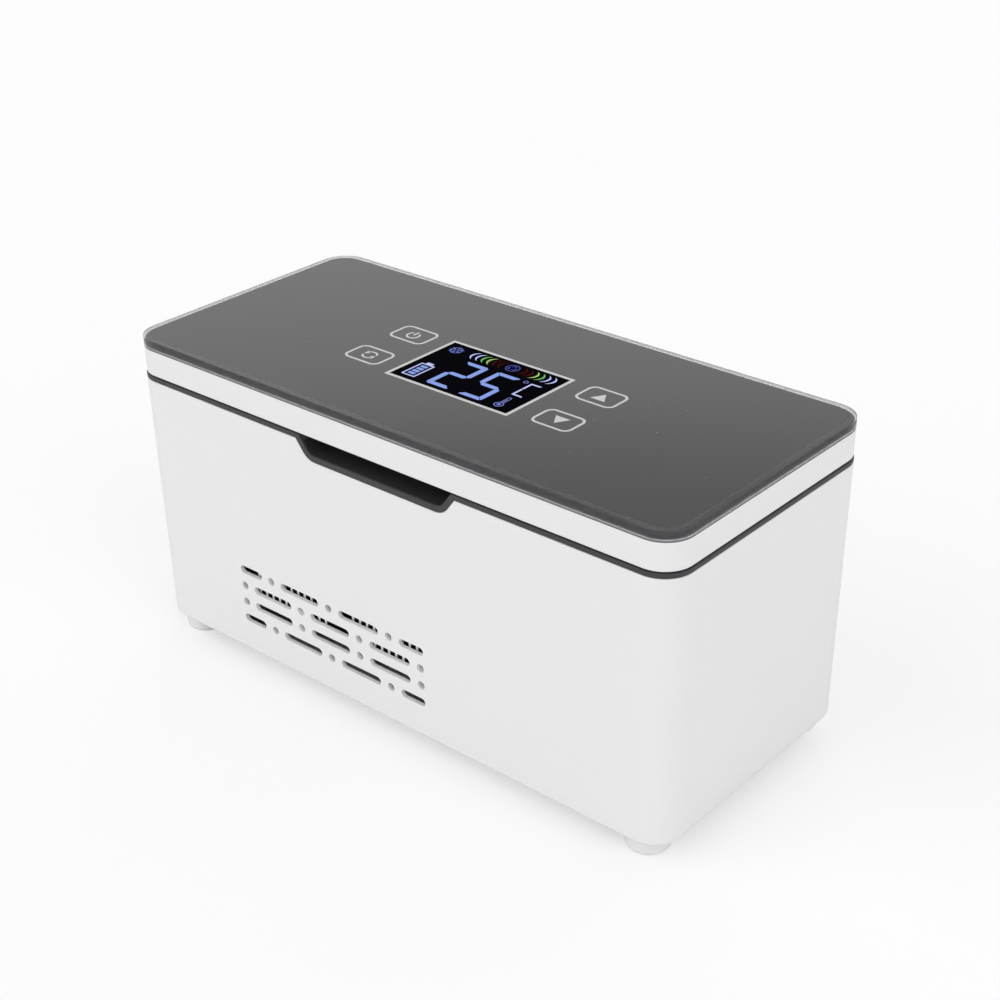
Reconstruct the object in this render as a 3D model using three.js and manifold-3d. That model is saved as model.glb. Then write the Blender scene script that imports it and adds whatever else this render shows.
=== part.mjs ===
// Insulin cooling case: a box with a hinged lid, a cold chamber, and a thermoelectric cooler below it.
// Millimetres, +Z up, +X along the length, the front faces -Y.
// The origin is on the floor under the middle of the case.
import * as THREE from 'three';
import { mergeGeometries, mergeVertices } from 'three/addons/utils/BufferGeometryUtils.js';
import Module from 'manifold-3d';

const wasm = await Module();
wasm.setup();

// Whole case
const case_length = 226;
const case_depth = 102.4;
const case_corner_radius = 10.2;
const foot_height = 6;
const shell_height = 93.8;
const band_height = 1.7; // dark seam band that shows between the shell and the lid
const lid_gap = 0.4; // open line between the rim and the closed lid
const lid_frame_height = 9.4;
const panel_height = 3.5; // from the lid frame to the top of the panel

// Clearances
const seat_gap = 0.12; // between faces that rest on each other
const fit_gap = 0.3; // round a piece in its recess
const pin_gap = 0.12; // round a pin or a screw in its hole
const cut_overrun = 3; // how far a cutter runs past the faces it cuts
const join_sink = 0.6; // how far a rib or boss runs into the wall that carries it

// Housing shell
const shell_wall = 1.6;
const shell_draft = 0.8; // how far each side leans in from the top to the bottom
const shell_foot_radius = 1.6; // rounding of the bottom edge
const shell_lip_width = 3.5; // rim round the base opening
const shelf_rib_width = 2;
const shelf_rib_depth = 4.6;
const shelf_rib_inset = 18; // from the case's end to the outer ribs
const shelf_rib_room = 5.6; // from the heat sink to the inner ribs
const boss_radius = 3.6;
const boss_height = 14;
const boss_web_width = 2;

// Vent pattern, front and rear
const vent_height = 3;
const vent_slot_length = 18.2;
const vent_gap = 3.17;
const vent_row_pitch = 6.53;
const vent_lowest_row = 19.9; // height of the lowest row over the floor
const vent_shift = -2.6; // from the cooler's middle to the middle of the vents

// Finger notch, in the front wall
const notch_depth = 6.4; // down from the top of the shell
const notch_flat = 51.6;
const notch_radius = 6.5;
const notch_slope_deg = 53;
const notch_lining = 2.2; // rim material round the notch
const pocket_depth = 12; // from the front face to the back of the finger pocket

// Rim frame
const rim_skirt_wall = 1.6;
const rim_skirt_height = 5;
const mouth_margin = 0.6; // rim mouth past the inside of the liner

// Base cover and feet
const base_thickness = 2.4;
const foot_inset_x = 12; // from the case's end to the middle of a foot
const foot_inset_y = 10.3;
const foot_radius = 7.1;
const foot_tip_radius = 5.4;
const foot_edge_radius = 1.6;
const foot_stud_radius = 2;
const foot_stud_length = 2.2;
const base_screw_inset_x = 25;
const base_screw_inset_y = 9.2;
const grille_radius = 27;
const grille_slot = 4.2;
const grille_rib = 3;
const grille_spokes = 6;

// Screws
const screw_head_radius = 2.8;
const screw_head_height = 1.4;
const screw_radius = 1.4;
const base_screw_length = 9;
const lid_screw_length = 5;
const fan_screw_length = 20;
const clamp_screw_length = 17;

// Cold chamber
const chamber_end_wall = 21; // from the case's end to the chamber
const chamber_side_wall = 22.2; // from the case's front to the chamber
const chamber_depth = 34.3; // from the rim's top face down to the chamber floor
const chamber_corner_radius = 8;
const liner_wall = 1.2;
const liner_flange = 4;
const foam_bottom = 51.3; // height over the floor
const sensor_radius = 2.4;
const sensor_reach = 4;
const sensor_rise = 9; // over the chamber floor

// Cooler stack
const peltier_side = 40;
const peltier_height = 3.9;
const peltier_plate = 0.8;
const peltier_core_inset = 1;
const cold_block_side = 46;
const sink_end_room = 4.2; // from the case's front to the fins
const sink_base = 5;
const fin_length = 20;
const fin_thickness = 1.1;
const fin_pitch = 3.2;
const fins_per_bank = 11;
const bank_gap = 12.2;
const sink_cradle_room = 8.4; // between the heat sink and the battery cradle
const clamp_screw_spread = 64;

// Fan
const fan_side = 60;
const fan_height = 15;
const fan_corner_radius = 5;
const fan_bore_radius = 28.6;
const fan_screw_spread = 50;
const fan_strut_width = 3;
const fan_strut_height = 2;
const fan_struts = 3;
const fan_hub_radius = 13;
const fan_hub_wall = 1.6;
const fan_hub_height = 10.5;
const blade_count = 7;
const blade_tip_gap = 0.7;
const blade_chord_root = 10;
const blade_chord_tip = 15;
const blade_thickness = 1.2;
const blade_camber = 1.4;
const blade_pitch_root_deg = 48;
const blade_pitch_tip_deg = 30;
const shaft_radius = 1.5;
const bearing_wall = 2;
const bearing_height = 6;

// Battery and main board
const power_inset = 49; // from the case's end to the middle of the cells and the main board
const cell_radius = 9.2;
const cell_end_room = 18.7; // from the case's front to the cells
const cell_gap = 0.6;
const cell_edge = 0.8;
const cell_nub_radius = 2.8;
const cell_nub_height = 1;
const cell_count = 4;
const cradle_floor = 1.6;
const cradle_saddle = 6; // how far the saddles rise beside a cell
const cradle_end_wall = 2;
const board_thickness = 1.6;
const board_length = 82;
const board_side_room = 8.2; // from the case's front to the main board
const board_rise = 23; // from the base cover to the main board
const post_radius = 3;
const inlet_inset = 25; // from the case's end to the power socket
const inlet_width = 10;
const inlet_height = 11;
const inlet_length = 14;
const inlet_collar_radius = 4.2;
const inlet_bore_radius = 2.9;
const inlet_pin_radius = 1;
const inlet_bore_depth = 9;

// Lid
const lid_inset = 0.2; // how far the lid stands in from the case's face
const lid_wall = 2.4;
const lid_deck = 1.8;
const hinge_radius = 2.4; // ear radius, and the rounding of the lid's rear lower edge
const hinge_pin_radius = 1;
const hinge_inset = 43; // from the case's end to the middle of a hinge
const ear_width = 8;
const ear_side_gap = 0.5;
const knuckle_width = 7;
const knuckle_depth = 3.4; // forward of the pin
const lid_liner_plate = 2;
const plug_depth = 6;
const plug_gap = 1.8; // between the plug and the chamber's wall
const plug_wall = 1.6;
const plug_edge_radius = 1.6;
const gasket_width = 3.4;
const gasket_offset = 4.6; // outside the plug
const gasket_groove = 1.2;
const lid_screw_inset_x = 13;
const lid_screw_inset_y = 13.2;
const lid_boss_radius = 3.6;
const lid_boss_foot = 0.8; // extra liner thickness round a screw

// Panel, display and touch keys
const panel_edge_radius = 0.9;
const panel_foot_radius = 0.5;
const layout_x = 2.6; // middle of the printed layout
const layout_y = -3.5;
const display_length = 51.6;
const display_width = 34.2;
const display_corner = 0.8;
const display_gap = 0.05;
const module_margin = 2.5; // display module past the lens
const key_left_x = -39.6; // from the layout's middle
const key_right_x = 40.1;
const key_rear_y = 12;
const key_front_y = -9.4;
const contact_radius = 4;
const control_board_length = 104;
const control_board_depth = 46;

// Magnets that hold the lid shut
const magnet_radius = 3;
const magnet_height = 2;
const magnet_inset = 49; // from the case's end to a magnet
const magnet_ring_wall = 1;

// Facets
const arc_steps = 6; // in a quarter of a large corner
const chamber_arc_steps = 4; // in a quarter of a corner of the chamber and what follows it
const small_arc_steps = 2; // in a quarter of a small corner
const round_steps = 16; // round a small turned piece
const bore_steps = 32; // round the fan's bore
const screw_steps = 8; // round a screw, a pin or its hole
const cell_steps = 12; // round a cell or a foot
const vent_end_steps = 3; // round the end of a slot
const grille_steps = 4; // along a grille slot
const fillet_steps = 3;
const weld_tolerance = 0.0001;

// Places in plan, from the case's sides
const foot_spread_x = case_length - 2 * foot_inset_x;
const foot_spread_y = case_depth - 2 * foot_inset_y;
const base_screw_spread_x = case_length - 2 * base_screw_inset_x;
const base_screw_spread_y = case_depth - 2 * base_screw_inset_y;
const lid_screw_spread_x = case_length - 2 * lid_screw_inset_x;
const lid_screw_spread_y = case_depth - 2 * lid_screw_inset_y;
const hinge_spread = case_length - 2 * hinge_inset;
const chamber_length = case_length - 2 * chamber_end_wall;
const chamber_width = case_depth - 2 * chamber_side_wall;
const magnet_spread = case_length - 2 * magnet_inset;
const skirt_inside_y = case_depth / 2 - shell_wall - fit_gap - rim_skirt_wall;
const magnet_y = -(chamber_width / 2 + liner_flange + skirt_inside_y) / 2;
const power_x = case_length / 2 - power_inset; // middle of the cells and the main board
const inlet_x = case_length / 2 - inlet_inset;
const board_depth = case_depth - 2 * board_side_room;

// Battery pack
const cell_length = case_depth - 2 * cell_end_room;
const cell_pitch = 2 * cell_radius + cell_gap;
const cradle_half_x = (cell_count * cell_pitch) / 2 + cell_gap;

// Heat sink across its two banks of fins, beside the battery pack
const bank_width = (fins_per_bank - 1) * fin_pitch + fin_thickness;
const sink_width = 2 * bank_width + bank_gap;
const sink_depth = case_depth - 2 * sink_end_room;
const cooler_x = power_x - cradle_half_x - sink_cradle_room - sink_width / 2;

// Heights over the floor, from the bottom up
const shell_bottom = foot_height;
const shell_top = shell_bottom + shell_height;
const notch_middle_z = shell_top - notch_depth + notch_radius; // middle of the notch's round corners
const rim_bottom = shell_top + seat_gap;
const rim_top = shell_top + band_height;
const lid_bottom = rim_top + lid_gap;
const lid_top = lid_bottom + lid_frame_height;
const panel_bottom = lid_top + seat_gap;
const panel_top = lid_top + panel_height;
const base_top = shell_bottom + base_thickness;
const sink_top = foam_bottom - fit_gap;
const fin_top = sink_top - sink_base;
const fin_bottom = fin_top - fin_length;
const fan_top = fin_bottom - fit_gap;
const fan_bottom = fan_top - fan_height;
const peltier_bottom = sink_top + seat_gap;
const peltier_top = peltier_bottom + peltier_height;
const chamber_floor = rim_top - chamber_depth;
const liner_bottom = chamber_floor - liner_wall;
const sensor_z = chamber_floor + sensor_rise;
const magnet_seat = magnet_radius + pin_gap;
const board_bottom = base_top + board_rise;
const board_top = board_bottom + board_thickness;
const liner_plate_top = lid_bottom + lid_liner_plate;
const deck_bottom = lid_top - lid_deck;
const control_board_top = deck_bottom - fit_gap;
const control_board_bottom = control_board_top - board_thickness;

// Lid outline and hinge axis
const lid_length = case_length - 2 * lid_inset;
const lid_depth = case_depth - 2 * lid_inset;
const lid_corner_radius = case_corner_radius - lid_inset;
const hinge_y = lid_depth / 2 - hinge_radius;
const hinge_z = lid_bottom + hinge_radius;

function radians(degrees) {
  return (degrees * Math.PI) / 180;
}

function mix(from, to, share) {
  return from + (to - from) * share;
}

// Solids

function solid(geometry) {
  const bare = geometry.clone();
  bare.deleteAttribute('normal');
  bare.deleteAttribute('uv');
  const merged = mergeVertices(bare, weld_tolerance);
  const corners = merged.index.array;
  const vertProperties = new Float32Array(merged.attributes.position.array);
  const kept = [];
  let volume = 0;
  const point = (i) => new THREE.Vector3().fromArray(vertProperties, 3 * i);
  for (let i = 0; i < corners.length; i += 3) {
    const [a, b, c] = [corners[i], corners[i + 1], corners[i + 2]];
    if (a === b || b === c || c === a) continue;
    kept.push(a, b, c);
    volume += point(a).dot(point(b).cross(point(c)));
  }
  if (volume < 0) kept.reverse();
  const triVerts = new Uint32Array(kept);
  return new wasm.Manifold(new wasm.Mesh({ numProp: 3, vertProperties, triVerts }));
}

function cut(body, ...tools) {
  return tools.reduce((rest, tool) => rest.subtract(tool), body);
}

function join(body, ...others) {
  return others.reduce((whole, other) => whole.add(other), body);
}

function piece(name, body, finish) {
  const { vertProperties, triVerts } = body.getMesh();
  const geometry = new THREE.BufferGeometry();
  geometry.setAttribute('position', new THREE.BufferAttribute(new Float32Array(vertProperties), 3));
  geometry.setIndex(new THREE.BufferAttribute(new Uint32Array(triVerts), 1));
  geometry.computeVertexNormals();
  const mesh = new THREE.Mesh(geometry, finish);
  mesh.name = name;
  return mesh;
}

function placed(mesh, x, y, z) {
  mesh.position.set(x, y, z);
  return mesh;
}

// Forms

function block(x_from, x_to, y_from, y_to, z_from, z_to) {
  const box = new THREE.BoxGeometry(x_to - x_from, y_to - y_from, z_to - z_from);
  box.translate((x_from + x_to) / 2, (y_from + y_to) / 2, (z_from + z_to) / 2);
  return solid(box);
}

// A round bar that stands on z_from.
function post(x, y, radius, z_from, z_to, steps = round_steps) {
  const bar = new THREE.CylinderGeometry(radius, radius, z_to - z_from, steps);
  bar.rotateX(Math.PI / 2);
  bar.translate(x, y, (z_from + z_to) / 2);
  return solid(bar);
}

// A round bar along the length of the case.
function lengthBar(x_from, x_to, y, z, radius, steps = round_steps) {
  const bar = new THREE.CylinderGeometry(radius, radius, x_to - x_from, steps);
  bar.rotateZ(Math.PI / 2);
  bar.translate((x_from + x_to) / 2, y, z);
  return solid(bar);
}

// A round bar from the front towards the rear.
function depthBar(y_from, y_to, x, z, radius, steps = round_steps) {
  const bar = new THREE.CylinderGeometry(radius, radius, y_to - y_from, steps);
  bar.translate(x, (y_from + y_to) / 2, z);
  return solid(bar);
}

// A turned piece: the profile is a list of [radius, height] that starts and ends on the axis.
function turned(profile, steps = round_steps) {
  const points = profile.map(([radius, height]) => new THREE.Vector2(radius, height));
  return solid(new THREE.LatheGeometry(points, steps).rotateX(Math.PI / 2));
}

function roundedOutline(length, depth, radius) {
  const x = length / 2 - radius;
  const y = depth / 2 - radius;
  const outline = new THREE.Shape();
  outline.absarc(x, y, radius, 0, Math.PI / 2, false);
  outline.absarc(-x, y, radius, Math.PI / 2, Math.PI, false);
  outline.absarc(-x, -y, radius, Math.PI, 1.5 * Math.PI, false);
  outline.absarc(x, -y, radius, 1.5 * Math.PI, 2 * Math.PI, false);
  return outline;
}

// An upright prism of an outline, with the given facets to each arc; three.js doubles
// curveSegments on an arc.
function prism(outline, z_from, z_to, steps = arc_steps) {
  const settings = { depth: z_to - z_from, bevelEnabled: false, curveSegments: steps / 2 };
  return new THREE.ExtrudeGeometry(outline, settings).translate(0, 0, z_from);
}

function plate(length, depth, radius, z_from, z_to, steps = arc_steps) {
  return solid(prism(roundedOutline(length, depth, radius), z_from, z_to, steps));
}

// A prism of an outline drawn on a wall, in X and height, that runs from y_from to y_to.
function wallPrism(outline, y_from, y_to, steps = arc_steps) {
  const settings = { depth: y_to - y_from, bevelEnabled: false, curveSegments: steps / 2 };
  return new THREE.ExtrudeGeometry(outline, settings).rotateX(Math.PI / 2).translate(0, y_to, 0);
}

function roundedRing(length, depth, radius, z) {
  const ring = [];
  for (let corner = 0; corner < 4; corner++) {
    const side_x = corner === 0 || corner === 3 ? 1 : -1;
    const side_y = corner < 2 ? 1 : -1;
    for (let step = 0; step <= arc_steps; step++) {
      const angle = ((corner + step / arc_steps) * Math.PI) / 2;
      const x = side_x * (length / 2 - radius) + radius * Math.cos(angle);
      const y = side_y * (depth / 2 - radius) + radius * Math.sin(angle);
      ring.push(new THREE.Vector3(x, y, z));
    }
  }
  return ring;
}

// A closed skin over rings with the same number of points, capped at both ends.
function skin(rings) {
  const count = rings[0].length;
  const last = (rings.length - 1) * count;
  const faces = [];
  for (let level = 0; level < rings.length - 1; level++) {
    for (let i = 0; i < count; i++) {
      const a = level * count + i;
      const b = level * count + ((i + 1) % count);
      faces.push(a, b, b + count, a, b + count, a + count);
    }
  }
  for (let low = 0, high = count - 1; low < high - 1; low++, high--) {
    faces.push(low, high, low + 1, last + low, last + low + 1, last + high);
    if (low + 1 === high - 1) break;
    faces.push(low + 1, high, high - 1, last + low + 1, last + high - 1, last + high);
  }
  const geometry = new THREE.BufferGeometry();
  const places = rings.flat().flatMap((point) => [point.x, point.y, point.z]);
  geometry.setAttribute('position', new THREE.Float32BufferAttribute(places, 3));
  geometry.setIndex(faces);
  return solid(geometry);
}

// The four places of a spread, as [x, y, name].
function corners(spread_x, spread_y) {
  const places = [];
  for (const [end_y, depth_name] of [[-1, 'front'], [1, 'rear']]) {
    for (const [end_x, side_name] of [[-1, 'left'], [1, 'right']]) {
      places.push([(end_x * spread_x) / 2, (end_y * spread_y) / 2, `${depth_name}_${side_name}`]);
    }
  }
  return places;
}

// Finishes, from the photograph where they show

function finish(color, roughness, metalness = 0) {
  return new THREE.MeshStandardMaterial({ color, roughness, metalness });
}

const white_plastic = finish(0xe9e9eb, 0.35);
const dark_plastic = finish(0x4b4b4d, 0.45);
const panel_gloss = finish(0x5c5c5f, 0.12);
const display_gloss = finish(0x08080a, 0.08);
const black_plastic = finish(0x1c1c1e, 0.5);
const foot_white = finish(0xededee, 0.45);
const bare_aluminium = finish(0xd2d4d6, 0.3, 1);
const steel = finish(0xa9abad, 0.3, 1);
const ceramic = finish(0xf2f1ec, 0.5);
const foam_grey = finish(0x3a3b3d, 0.95);
const rubber_grey = finish(0x8d8f92, 0.8);
const board_green = finish(0x1f5a3a, 0.5);
const cell_blue = finish(0x2f5fa8, 0.35);
const contact_grey = finish(0x77787a, 0.7, 0.3);

// Outline of the housing shell at a height, stood in from its face.
function shellRing(z, inset) {
  const lean = (shell_draft * (shell_top - z)) / shell_height;
  const off = lean + inset;
  return roundedRing(case_length - 2 * off, case_depth - 2 * off, case_corner_radius - off, z);
}

// Half the notch's width at a height on its sloping sides, stood in by the inset.
function notchHalf(inset, z) {
  const slope = radians(notch_slope_deg);
  const radius = notch_radius - inset;
  const rise = z - notch_middle_z + radius * Math.cos(slope);
  return notch_flat / 2 + radius * Math.sin(slope) + rise / Math.tan(slope);
}

// Notch outline in X and height, up to a height.
function notchOutline(inset, top) {
  const slope = radians(notch_slope_deg);
  const radius = notch_radius - inset;
  const half_top = notchHalf(inset, top);
  const outline = new THREE.Shape();
  outline.moveTo(half_top, top);
  outline.lineTo(-half_top, top);
  outline.absarc(-notch_flat / 2, notch_middle_z, radius, 1.5 * Math.PI - slope, 1.5 * Math.PI, false);
  outline.absarc(notch_flat / 2, notch_middle_z, radius, 1.5 * Math.PI, 1.5 * Math.PI + slope, false);
  return outline;
}

function slotOutline(x, z, length, height) {
  const half = (length - height) / 2;
  const outline = new THREE.Shape();
  outline.absarc(x + half, z, height / 2, -Math.PI / 2, Math.PI / 2, false);
  outline.absarc(x - half, z, height / 2, Math.PI / 2, 1.5 * Math.PI, false);
  return outline;
}

// Slots and dots in staggered rows, through the wall from y_from to y_to.
function ventTools(y_from, y_to) {
  const half_slot = (vent_slot_length + vent_height) / 2;
  const lengths = { slot: vent_slot_length, dot: vent_height, half: half_slot };
  const long_row = ['half', 'dot', 'slot', 'dot', 'slot', 'dot', 'half'];
  const dot_row = ['dot', 'slot', 'dot', 'slot', 'dot', 'slot', 'dot'];
  const row_length = 4 * vent_height + 3 * vent_slot_length + 6 * vent_gap;
  const tools = [];
  [long_row, dot_row, dot_row, long_row].forEach((row, level) => {
    const z = vent_lowest_row + level * vent_row_pitch;
    let x = cooler_x + vent_shift - row_length / 2;
    for (const kind of row) {
      const length = lengths[kind];
      const outline = slotOutline(x + length / 2, z, length, vent_height);
      tools.push(wallPrism(outline, y_from, y_to, vent_end_steps));
      x += length + vent_gap;
    }
  });
  return solid(mergeGeometries(tools));
}

// A round-headed screw that points up from the underside of its head.
function screw(length) {
  return turned(
    [
      [0, -screw_head_height],
      [screw_head_radius - screw_head_height / 3, -screw_head_height],
      [screw_head_radius, 0],
      [screw_radius, 0],
      [screw_radius, length - screw_radius],
      [0, length],
    ],
    screw_steps,
  );
}

// Housing

function housingShell() {
  const outer = [];
  for (let step = 0; step <= fillet_steps; step++) {
    const angle = ((step / fillet_steps) * Math.PI) / 2;
    const inset = shell_foot_radius * (1 - Math.sin(angle));
    outer.push(shellRing(shell_bottom + shell_foot_radius * (1 - Math.cos(angle)), inset));
  }
  outer.push(shellRing(shell_top, 0));
  const inner = skin([shellRing(base_top, shell_wall), shellRing(shell_top + cut_overrun, shell_wall)]);
  const base_hole = skin([
    shellRing(shell_bottom - cut_overrun, shell_lip_width),
    shellRing(base_top + cut_overrun, shell_lip_width),
  ]);
  const half_depth = case_depth / 2;
  const notch_shape = notchOutline(0, shell_top + cut_overrun);
  const notch_back = shell_wall + cut_overrun - half_depth;
  const notch = solid(wallPrism(notch_shape, -half_depth - cut_overrun, notch_back));
  const vent_reach = half_depth - shell_draft - shell_wall - cut_overrun / 2;
  let body = cut(
    skin(outer),
    inner,
    base_hole,
    notch,
    ventTools(-half_depth - cut_overrun, -vent_reach),
    ventTools(vent_reach, half_depth + cut_overrun),
    depthBar(vent_reach, half_depth + cut_overrun, inlet_x, inlet_z, inlet_collar_radius + fit_gap),
  );
  const wall_y = half_depth - shell_draft - shell_wall;
  const rib_top = foam_bottom - seat_gap;
  const rib_end = case_length / 2 - shelf_rib_inset;
  const rib_side = sink_width / 2 + shelf_rib_room;
  for (const x of [-rib_end, cooler_x - rib_side, cooler_x + rib_side, rib_end]) {
    for (const end of [-1, 1]) {
      const ys = [end * (wall_y - shelf_rib_depth), end * (wall_y + join_sink)].sort((a, b) => a - b);
      const half_rib = shelf_rib_width / 2;
      body = join(body, block(x - half_rib, x + half_rib, ...ys, base_top, rib_top));
    }
  }
  for (const [x, y] of corners(base_screw_spread_x, base_screw_spread_y)) {
    const web = [y, Math.sign(y) * (wall_y + join_sink)].sort((a, b) => a - b);
    const half_web = boss_web_width / 2;
    body = join(
      body,
      post(x, y, boss_radius, base_top + seat_gap, base_top + boss_height, screw_steps),
      block(x - half_web, x + half_web, ...web, base_top + seat_gap, base_top + boss_height),
    );
    const pilot = screw_radius + pin_gap;
    const pilot_top = base_top + base_screw_length;
    body = cut(body, post(x, y, pilot, base_top - cut_overrun, pilot_top, screw_steps));
  }
  return body;
}

// A grille of ring slots between spokes.
function grilleTools() {
  const sector = (2 * Math.PI) / grille_spokes;
  const tools = [];
  for (let outer = grille_radius; outer - grille_slot > grille_rib; outer -= grille_slot + grille_rib) {
    const inner = outer - grille_slot;
    const outer_half = sector / 2 - Math.asin(grille_rib / 2 / outer);
    const inner_half = sector / 2 - Math.asin(grille_rib / 2 / inner);
    for (let spoke = 0; spoke < grille_spokes; spoke++) {
      const middle = spoke * sector;
      const outline = new THREE.Shape();
      outline.absarc(cooler_x, 0, outer, middle - outer_half, middle + outer_half, false);
      outline.absarc(cooler_x, 0, inner, middle + inner_half, middle - inner_half, true);
      tools.push(prism(outline, shell_bottom - cut_overrun, base_top + cut_overrun, grille_steps));
    }
  }
  return solid(mergeGeometries(tools));
}

function baseCover() {
  const inset = shell_lip_width + fit_gap;
  let body = skin([shellRing(shell_bottom, inset), shellRing(base_top, inset)]);
  body = cut(body, grilleTools());
  for (const [x, y] of corners(foot_spread_x, foot_spread_y)) {
    const hole = foot_stud_radius + pin_gap;
    body = cut(body, post(x, y, hole, shell_bottom - cut_overrun, base_top + cut_overrun, cell_steps));
  }
  for (const [x, y] of corners(base_screw_spread_x, base_screw_spread_y)) {
    const seat = shell_bottom + screw_head_height + seat_gap;
    const below = shell_bottom - cut_overrun;
    body = cut(
      body,
      post(x, y, screw_radius + fit_gap, below, base_top + cut_overrun, screw_steps),
      post(x, y, screw_head_radius + fit_gap, below, seat, screw_steps),
    );
  }
  return body;
}

// A soft foot with a stud that presses into the base cover; its height starts at the floor.
function foot() {
  const profile = [[0, 0]];
  for (let step = 0; step <= fillet_steps; step++) {
    const angle = ((step / fillet_steps) * Math.PI) / 2;
    const radius = foot_tip_radius + foot_edge_radius * Math.sin(angle);
    profile.push([radius, foot_edge_radius * (1 - Math.cos(angle))]);
  }
  const top = foot_height - seat_gap;
  profile.push([foot_radius, top], [foot_stud_radius, top]);
  profile.push([foot_stud_radius, top + foot_stud_length], [0, top + foot_stud_length]);
  return turned(profile, cell_steps);
}

// Outline of the chamber at its inside, stood out by a margin.
function chamberPlate(margin, z_from, z_to) {
  const length = chamber_length + 2 * margin;
  const width = chamber_width + 2 * margin;
  return plate(length, width, chamber_corner_radius + margin, z_from, z_to, chamber_arc_steps);
}

// Bore for a hinge pin, through what stands between two places.
function hingeBore(x_from, x_to) {
  const hole = hinge_pin_radius + pin_gap;
  return lengthBar(x_from - cut_overrun, x_to + cut_overrun, hinge_y, hinge_z, hole, screw_steps);
}

// Rim frame: the dark plate under the lid, its skirt, the finger pocket and the hinge ears.
function rimFrame() {
  const skirt_inset = shell_wall + fit_gap;
  const skirt_bottom = rim_bottom - rim_skirt_height;
  const skirt = cut(
    skin([shellRing(skirt_bottom, skirt_inset), shellRing(rim_bottom + seat_gap, skirt_inset)]),
    skin([
      shellRing(skirt_bottom - cut_overrun, skirt_inset + rim_skirt_wall),
      shellRing(rim_bottom, skirt_inset + rim_skirt_wall),
    ]),
  );
  const front = -case_depth / 2;
  const lining_back = front + pocket_depth + notch_lining;
  const lining = solid(wallPrism(notchOutline(seat_gap, rim_top), front, lining_back));
  const band = plate(case_length, case_depth, case_corner_radius, rim_bottom, rim_top);
  let body = join(band, skirt, lining);
  const pocket_outline = notchOutline(notch_lining, rim_top + cut_overrun);
  body = cut(
    body,
    solid(wallPrism(pocket_outline, front - cut_overrun, front + pocket_depth)),
    chamberPlate(mouth_margin, rim_bottom - cut_overrun, rim_top + cut_overrun),
  );
  for (const end of [-1, 1]) {
    const x = (end * magnet_spread) / 2;
    const ring_bottom = rim_bottom - magnet_height - 2 * seat_gap;
    const ring = cut(
      post(x, magnet_y, magnet_seat + magnet_ring_wall, ring_bottom, rim_bottom + seat_gap),
      post(x, magnet_y, magnet_seat, ring_bottom - cut_overrun, rim_bottom),
    );
    body = join(body, ring);
    const ear_x = (end * hinge_spread) / 2;
    const ear_from = ear_x - ear_width / 2;
    const ear_to = ear_x + ear_width / 2;
    body = join(
      body,
      lengthBar(ear_from, ear_to, hinge_y, hinge_z, hinge_radius),
      block(
        ear_from, ear_to, hinge_y - hinge_radius, hinge_y + hinge_radius,
        rim_bottom + seat_gap, hinge_z,
      ),
    );
    body = cut(body, hingeBore(ear_from, ear_to));
  }
  return body;
}

// Cold chamber

function chamberLiner() {
  const top = rim_bottom - seat_gap;
  let body = join(
    chamberPlate(liner_wall, liner_bottom, top),
    chamberPlate(liner_flange, top - liner_wall, top),
  );
  body = cut(body, chamberPlate(0, chamber_floor, top + cut_overrun));
  const end = -chamber_length / 2;
  const hole = sensor_radius / 2 + pin_gap;
  return cut(body, lengthBar(end - cut_overrun, end + seat_gap, 0, sensor_z, hole, screw_steps));
}

// The sensor's cap shows in the chamber; its neck passes through the liner into the foam.
function temperatureSensor() {
  const neck = sensor_radius / 2;
  const profile = [
    [0, -sensor_reach],
    [neck, -sensor_reach],
    [neck, seat_gap],
    [sensor_radius, seat_gap],
    [sensor_radius, sensor_reach - neck],
    [neck, sensor_reach],
    [0, sensor_reach],
  ];
  return turned(profile, screw_steps).rotate([0, 90, 0]);
}

function insulationFoam() {
  const inset = shell_wall + rim_skirt_wall + 2 * fit_gap;
  const top = rim_bottom - liner_wall - 2 * seat_gap;
  const block_half = cold_block_side / 2 + fit_gap;
  const front = -case_depth / 2;
  const pocket = front + pocket_depth + notch_lining + fit_gap;
  const pocket_bottom = shell_top - notch_depth - fit_gap;
  const pocket_half = notchHalf(seat_gap, top) + fit_gap;
  const probe_end = -chamber_length / 2;
  const probe_hole = sensor_radius / 2 + fit_gap;
  let body = cut(
    skin([shellRing(foam_bottom, inset), shellRing(top, inset)]),
    chamberPlate(liner_wall + fit_gap, liner_bottom - fit_gap, top + cut_overrun),
    block(
      cooler_x - block_half, cooler_x + block_half, -block_half, block_half,
      foam_bottom - cut_overrun, liner_bottom,
    ),
    block(-pocket_half, pocket_half, front - cut_overrun, pocket, pocket_bottom, top + cut_overrun),
    lengthBar(probe_end - sensor_reach - fit_gap, probe_end, 0, sensor_z, probe_hole, screw_steps),
  );
  for (const end of [-1, 1]) {
    const x = (end * magnet_spread) / 2;
    const ring = magnet_seat + magnet_ring_wall + fit_gap;
    body = cut(body, post(x, magnet_y, ring, top - magnet_height, top + cut_overrun));
    const y = (end * clamp_screw_spread) / 2;
    const clamp_top = foam_bottom + clamp_screw_length - sink_base;
    const clamp_hole = screw_radius + pin_gap;
    body = cut(body, post(cooler_x, y, clamp_hole, foam_bottom - cut_overrun, clamp_top, screw_steps));
  }
  return body;
}

// Cooler stack

function coldBlock() {
  const half = cold_block_side / 2;
  return block(-half, half, -half, half, peltier_top + seat_gap, liner_bottom - seat_gap);
}

function peltierModule() {
  const half = peltier_side / 2;
  const core = half - peltier_core_inset;
  return join(
    block(-half, half, -half, half, 0, peltier_plate),
    block(-core, core, -core, core, peltier_plate / 2, peltier_height - peltier_plate / 2),
    block(-half, half, -half, half, peltier_height - peltier_plate, peltier_height),
  );
}

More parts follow.
